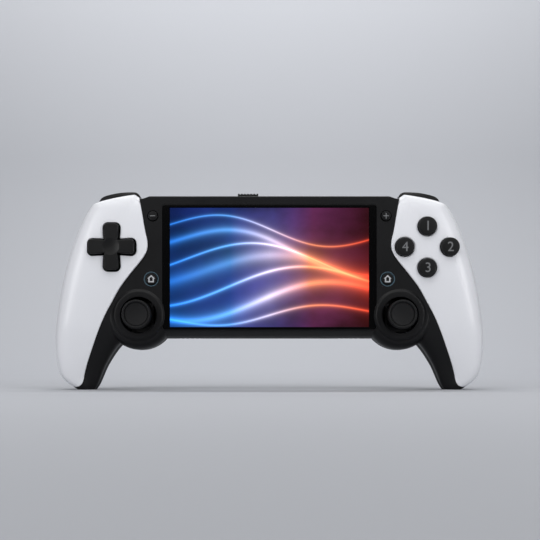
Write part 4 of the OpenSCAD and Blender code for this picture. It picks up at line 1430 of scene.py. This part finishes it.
@dataclass
class SmallKeys:
    """Plus, minus and home keys with their printed signs and light rings.

    The keys are given as x, z and radius on the right side.
    """

    small: Triple = (63.0, 94.0, 2.6)
    small_front: float = -0.7
    home: Triple = (63.85, 59.9, 3.15)
    home_front: float = -0.35
    edge: float = 0.35
    arm: float = 1.5
    stroke: float = 0.22
    ring_gap: float = 0.25
    ring_r: float = 4.0
    house: tuple[Pair, ...] = (
        (-1.5, -1.8), (1.5, -1.8), (1.5, 0.2), (2.1, 0.2), (0, 2.2), (-2.1, 0.2), (-1.5, 0.2))
    door: tuple[Pair, ...] = ((-0.8, -1.15), (0.8, -1.15), (0.8, 0.55), (0, 1.25), (-0.8, 0.55))

    def key(self, name: str, x: float, z: float, r: float, front: float, body: str) -> None:
        """Model and dress one round key.

        Args:
            name: Name of the piece.
            x: Side distance.
            z: Height.
            r: Radius.
            front: Depth of its face.
            body: CAD body that it moves with.
        """
        edge = arc(r - self.edge, front + self.edge, self.edge, -90, 0, 5)
        back = [(r, 2.6), (r + 0.9, 2.6), (r + 0.9, 3.4), (1.2, 3.4), (1.2, 4.6), (0, 4.6)]
        key = lathe(x, z, [(0, front), *edge, *back], 64)
        dress(key, name, body, "key_plastic", FINISH.black, body, smooth=40)

    def sign(self, outline: Sequence[Pair], front: float) -> Thing:
        """Model the ink of a sign, a little proud of a face."""
        return prism(outline, front - 0.05, front + 0.1)

    def build(self) -> None:
        """Model and dress all four keys."""
        x, z, r = self.small
        arm, t, front = self.arm, self.stroke, self.small_front
        self.key("minus_key", -x, z, r, front, "minus_button")
        self.key("plus_key", x, z, r, front, "plus_button")
        minus = self.sign(round_pane(2 * arm, 2 * t, 0.2, -x, z, 3), front)
        plus = self.sign(quarters([(arm, t), (t, t), (t, arm)], x, z), front)
        dress(minus, "minus_sign", "minus_button", "key_plastic", FINISH.sign)
        dress(plus, "plus_sign", "plus_button", "key_plastic", FINISH.sign)
        for side in Side:
            self.home_key(side)

    def home_key(self, side: Side) -> None:
        """Model and dress one home key with its sign and its light ring.

        Args:
            side: Side of the console.
        """
        word, front = side.word, self.home_front
        x, z, r = side.value * self.home[0], *self.home[1:]
        self.key(f"{word}_home_key", x, z, r, front, f"{word}_home_button")
        sign = self.sign([(x + a, z + b) for a, b in self.house], front)
        combine(sign, Combine.CUT, prism([(x + a, z + b) for a, b in self.door], front - 1, front + 1))
        dress(sign, f"{word}_home_sign", f"{word}_home_button", "key_plastic", FINISH.bright_sign)
        inner, outer = r + self.ring_gap, self.ring_r
        profile = [(inner, 0.35), (inner + 0.3, 0.0), (inner + 0.36, -0.1), (outer - 0.06, -0.1),
                   (outer, -0.02), (outer, 1.2), (inner, 1.2), (inner, 0.35)]
        dress(lathe(x, z, profile, 64), f"{word}_home_light", "console", "light_ring", FINISH.ring,
              f"{word}_home_ring", smooth=40)


@dataclass
class ThumbStick:
    """Thumb stick: rubber cap with a rolled rim, neck and dust dome, in a raised collar."""

    side: Side
    x: float = 70.7
    z: float = 40.4
    r: float = 7.8
    dish_r: float = 5.9
    roll: float = 0.75
    groove: float = 0.18
    out: float = 10.0
    pivot: float = 11.5
    dome_r: float = 10.5
    dome_wall: float = 1.0
    well: float = 9.75

    def turned(self, profile: Sequence[Pair]) -> Thing:
        """Spin a profile about the axis of the stick."""
        return lathe(self.side.value * self.x, self.z, profile, 128)

    def cap(self) -> Thing:
        """Model the cap.

        Returns:
            The solid.
        """
        f, r, waist = -self.out, self.r, self.r - self.groove
        dish = [(a, f + 1.25 - 0.55 * (a / self.dish_r) ** 2) for a in np.linspace(0, self.dish_r, 9)]
        step = [(6.05, f + 0.95), (6.3, f + 0.95), (6.45, f + 0.5)]
        rim = arc(r - self.roll, f + self.roll, self.roll, -145, 0, 9)
        side = [(r, f + 1.5), (waist, f + 1.75), (waist, f + 2.05), (r, f + 2.3), (r, f + 3.3),
                (r - 0.5, f + 3.9)]
        neck = [(4.0, f + 4.5), (3.5, f + 5.0), (3.2, f + 6.5), (3.3, 0.4)]
        dome = arc(0, self.pivot, self.dome_r, -66, -44, 8)
        under = arc(0, self.pivot, self.dome_r - self.dome_wall, -44, -65, 5)
        bore = [(1.6, 3.2), (1.6, f + 4), (0, f + 4)]
        return self.turned([*dish, *step, *rim, *side, *neck, *dome, *under, *bore])

    def collar(self) -> Thing:
        """Model the raised collar."""
        r = self.well
        return self.turned([
            (r, 2.3), (r, -0.6), (r + 0.12, -0.88), (r + 0.4, -1.0), (12.4, -1.0), (12.9, -0.9), (13.4, -0.6),
            (14.0, -0.12), (14.2, 0.0), (12.3, 0.0), (12.3, 2.3), (r, 2.3)])

    def build(self) -> None:
        """Model and dress the cap and the collar."""
        word = self.side.word
        dress(self.cap(), f"{word}_thumb_cap", f"{word}_stick", "thumb_rubber", FINISH.rubber,
              f"{word}_stick_cap", smooth=30)
        dress(self.collar(), f"{word}_collar", "console", "black_shell", FINISH.black,
              f"{word}_stick_collar", smooth=30)


@dataclass
class Shoulder:
    """Bumper and trigger of one side, each with the bore for its pin.

    Pins are given as depth and z, spans as x on the right side.
    """

    side: Side
    bumper_pin: Pair = (19.4, 101.8)
    bumper_span: Pair = (71.2, 94.2)
    trigger_pin: Pair = (25.2, 99.5)
    trigger_span: Pair = (69.3, 96.1)
    pin_r: float = 1.05
    lug_r: float = 2.2
    lug_w: float = 3.6

    def bore(self, pin: Pair) -> Thing:
        """Make the tool for the bore of a pin."""
        return round_bar((80, *pin), self.pin_r, 40, across=True)

    def bumper(self) -> Thing:
        """Model the right bumper.

        Returns:
            The solid.
        """
        x0, x1 = self.bumper_span
        top = open_curve([(10.9, 107.0), (11.2, 108.2), (12.0, 109.0), (13.2, 109.2), (17.0, 107.8),
                          (20.0, 105.6), (21.2, 103.8)], 5)
        section = [(10.4, 98.2), *top, (21.2, 100.2), (20.4, 99.0), (17.5, 99.0), (17.5, 100.6),
                   (13.4, 100.6), (13.4, 98.2)]
        crest = open_curve([(x0, 105.6), (71.7, 107.2), (73.1, 108.5), (75.4, 109.2), (82.2, 108.7),
                            (90.0, 106.9), (93.0, 105.1), (x1, 102.4)], 8)
        part = bar(section, x0, x1)
        combine(part, Combine.KEEP, prism([(x0, 96.0), *crest, (x1, 96.0)], 8, 24))
        soften(part, 0.4, 45)
        skirts = ((69.3, 11, 98.2), (72, 16.4, 103.8)), ((93.4, 11, 98.2), (96.1, 16.4, 101.4))
        combine(part, Combine.ADD, *[soften(block(*corners), 0.5) for corners in skirts])
        room = block((76, 14.6, 96), (89, 24, 103.8))
        return combine(part, Combine.CUT, room, self.bore(self.bumper_pin))

    def trigger(self) -> Thing:
        """Model the right trigger.

        Returns:
            The solid.
        """
        outer = open_curve([(22.4, 103.4), (24.0, 104.5), (29.5, 104.4), (35.2, 99.4), (37.6, 91.5),
                            (37.4, 84.0)], 8)
        inner = open_curve([(35.4, 84.0), (35.3, 91.2), (33.2, 98.0), (28.9, 102.0), (24.4, 102.3),
                            (22.4, 101.8)], 8)
        web = [(23.2, 99.6), (23.2, 102.4), (29.0, 102.6), (33.4, 98.6), (34.4, 95.0), (27.2, 98.8)]
        part = soften(bar([*outer, (36.4, 83.4), *inner], *self.trigger_span), 0.6, 50)
        for x0, x1 in ((68, 71.4), (94, 98)):
            combine(part, Combine.CUT, block((x0, 20, 96), (x1, 28.6, 106)))
        for x in (71.4, 90.4):
            middle = (x + self.lug_w / 2, *self.trigger_pin)
            lug = round_bar(middle, self.lug_r, self.lug_w, across=True)
            combine(part, Combine.ADD, lug, bar(web, x, x + self.lug_w))
        return combine(part, Combine.CUT, self.bore(self.trigger_pin))

    def build(self) -> None:
        """Model and dress both keys."""
        for kind, made in (("bumper", self.bumper()), ("trigger", self.trigger())):
            part, body = made, f"{self.side.word}_{kind}"
            if self.side is Side.LEFT:
                part = mirrored(made)
                bpy.data.objects.remove(made, do_unlink=True)
            dress(part, f"{body}_key", body, "key_plastic", FINISH.key, body, smooth=40)


class Insides:
    """CAD nodes whose shape is right, which only need their finishes."""

    def build(self) -> None:
        """Give each CAD node the finish of its slot."""
        by_slot = {"black_shell": FINISH.black, "white_shell": FINISH.white, "screen_glass": FINISH.glass,
                   "display": FINISH.ink, "gasket_foam": FINISH.foam, "circuit_board": FINISH.board,
                   "battery_wrap": FINISH.pouch, "key_plastic": FINISH.key, "key_rubber": FINISH.dome,
                   "thumb_rubber": FINISH.rubber, "light_ring": FINISH.ring, "inner_plastic": FINISH.nylon,
                   "steel": FINISH.steel, "ribbon_film": FINISH.film}
        for part in frame["record"]["subparts"]:
            node = frame["nodes"][part["node"]]
            node.data.materials.clear()
            node.data.materials.append(by_slot[part["material_slot"]])
            LOG.info("%s: kept with %s", node.name, node.data.materials[0].name)


# Studio


@dataclass
class Studio:
    """Pale sweep, soft lamps and the camera of the photograph, in metres.

    The floor is level up to bend_y and rises there with bend_r.
    """

    pale: str = "b6b8bd"
    half_floor: float = 3.0
    bend_y: float = 0.8
    bend_r: float = 0.4
    wall_top: float = 2.5
    sky: float = 0.08
    lens: float = 61.7
    shift: Pair = (0.0011, 0.181)
    camera: Triple = (0.0, -0.514, 0.012)

    def sweep(self) -> None:
        """Model the floor that curves up into a back wall."""
        bend = arc(self.bend_y, self.bend_r, self.bend_r, math.degrees(0.1) - 90, 0, 13)
        line = [(-self.half_floor, 0.0), (self.bend_y, 0.0), *bend,
                (self.bend_y + self.bend_r, self.wall_top)]
        floor = draw([Vector((-self.half_floor, y, z)) for y, z in line])
        floor.name = "sweep"
        bpy.ops.mesh.extrude_edges_move(TRANSFORM_OT_translate={"value": (2 * self.half_floor, 0, 0)})
        only(floor)
        bpy.ops.object.shade_smooth_by_angle(angle=math.radians(40))
        # Pale matte paper: no highlight, only a soft fall of light
        floor.data.materials.append(Paper("pale paper sweep", self.pale).make())

    def lamp(self, name: str, place: Triple, aim: Triple, size: Pair, power: float) -> None:
        """Add a soft rectangular lamp.

        Args:
            name: Name of the lamp.
            place: Where it stands.
            aim: Point that it shines at.
            size: Width and height.
            power: Power in watts.
        """
        start_fresh()
        bpy.ops.object.light_add(type="AREA", location=place)
        lamp = bpy.context.object
        lamp.name = name
        lamp.data.shape = "RECTANGLE"
        lamp.data.size, lamp.data.size_y = size
        lamp.data.energy = power
        lamp.rotation_euler = (Vector(aim) - Vector(place)).to_track_quat("-Z", "Y").to_euler()

    def air(self) -> None:
        """Set the faint cool light from all sides."""
        world = bpy.data.worlds.new("studio")
        bpy.context.scene.world = world
        world.use_nodes = True
        tree = world.node_tree
        tree.nodes.clear()
        light = add_node(tree, "Background", {"Color": (0.92, 0.95, 1.0, 1.0), "Strength": self.sky})
        add_node(tree, "OutputWorld", {"Surface": light})

    def view(self) -> None:
        """Set the camera, level and low over the floor, with its picture shifted up."""
        start_fresh()
        bpy.ops.object.camera_add(location=self.camera, rotation=(math.pi / 2, 0, 0))
        camera = bpy.context.object
        camera.name = "camera"
        camera.data.lens = self.lens
        camera.data.sensor_width = 36.0
        camera.data.sensor_fit = "HORIZONTAL"
        camera.data.shift_x, camera.data.shift_y = self.shift
        camera.data.clip_start = 0.01
        camera.data.clip_end = 20.0
        bpy.context.scene.camera = camera
        bpy.context.scene.view_settings.view_transform = "Standard"

    def build(self) -> None:
        """Set the sweep, the lamps, the world and the camera."""
        self.sweep()
        middle, wall = (0.0, 0.0, 0.06), (0.0, 1.2, 0.4)
        self.lamp("top lamp", (0.0, -0.25, 0.5), middle, (0.8, 0.3), 1.75)
        self.lamp("front lamp", (0.0, -1.2, 0.65), middle, (1.4, 0.5), 2.6)
        for side in Side:
            self.lamp(f"{side.word} lamp", (0.6 * side.value, -0.72, 0.2), middle, (0.1, 0.5), 2.1)
        self.lamp("wall lamp", (0.0, 0.5, 1.3), wall, (1.6, 0.4), 19.0)
        self.air()
        self.view()


def main() -> None:
    """Build all pieces in order."""
    logging.basicConfig(level=logging.INFO, format="%(name)s %(message)s")
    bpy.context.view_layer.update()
    Insides().build()
    Faceplates().build()
    Housings().build()
    Screen().build()
    DirectionPad().build()
    FaceButtons().build()
    SmallKeys().build()
    for side in Side:
        ThumbStick(side).build()
        Shoulder(side).build()
    Studio().build()


if __name__ == "__main__":
    main()
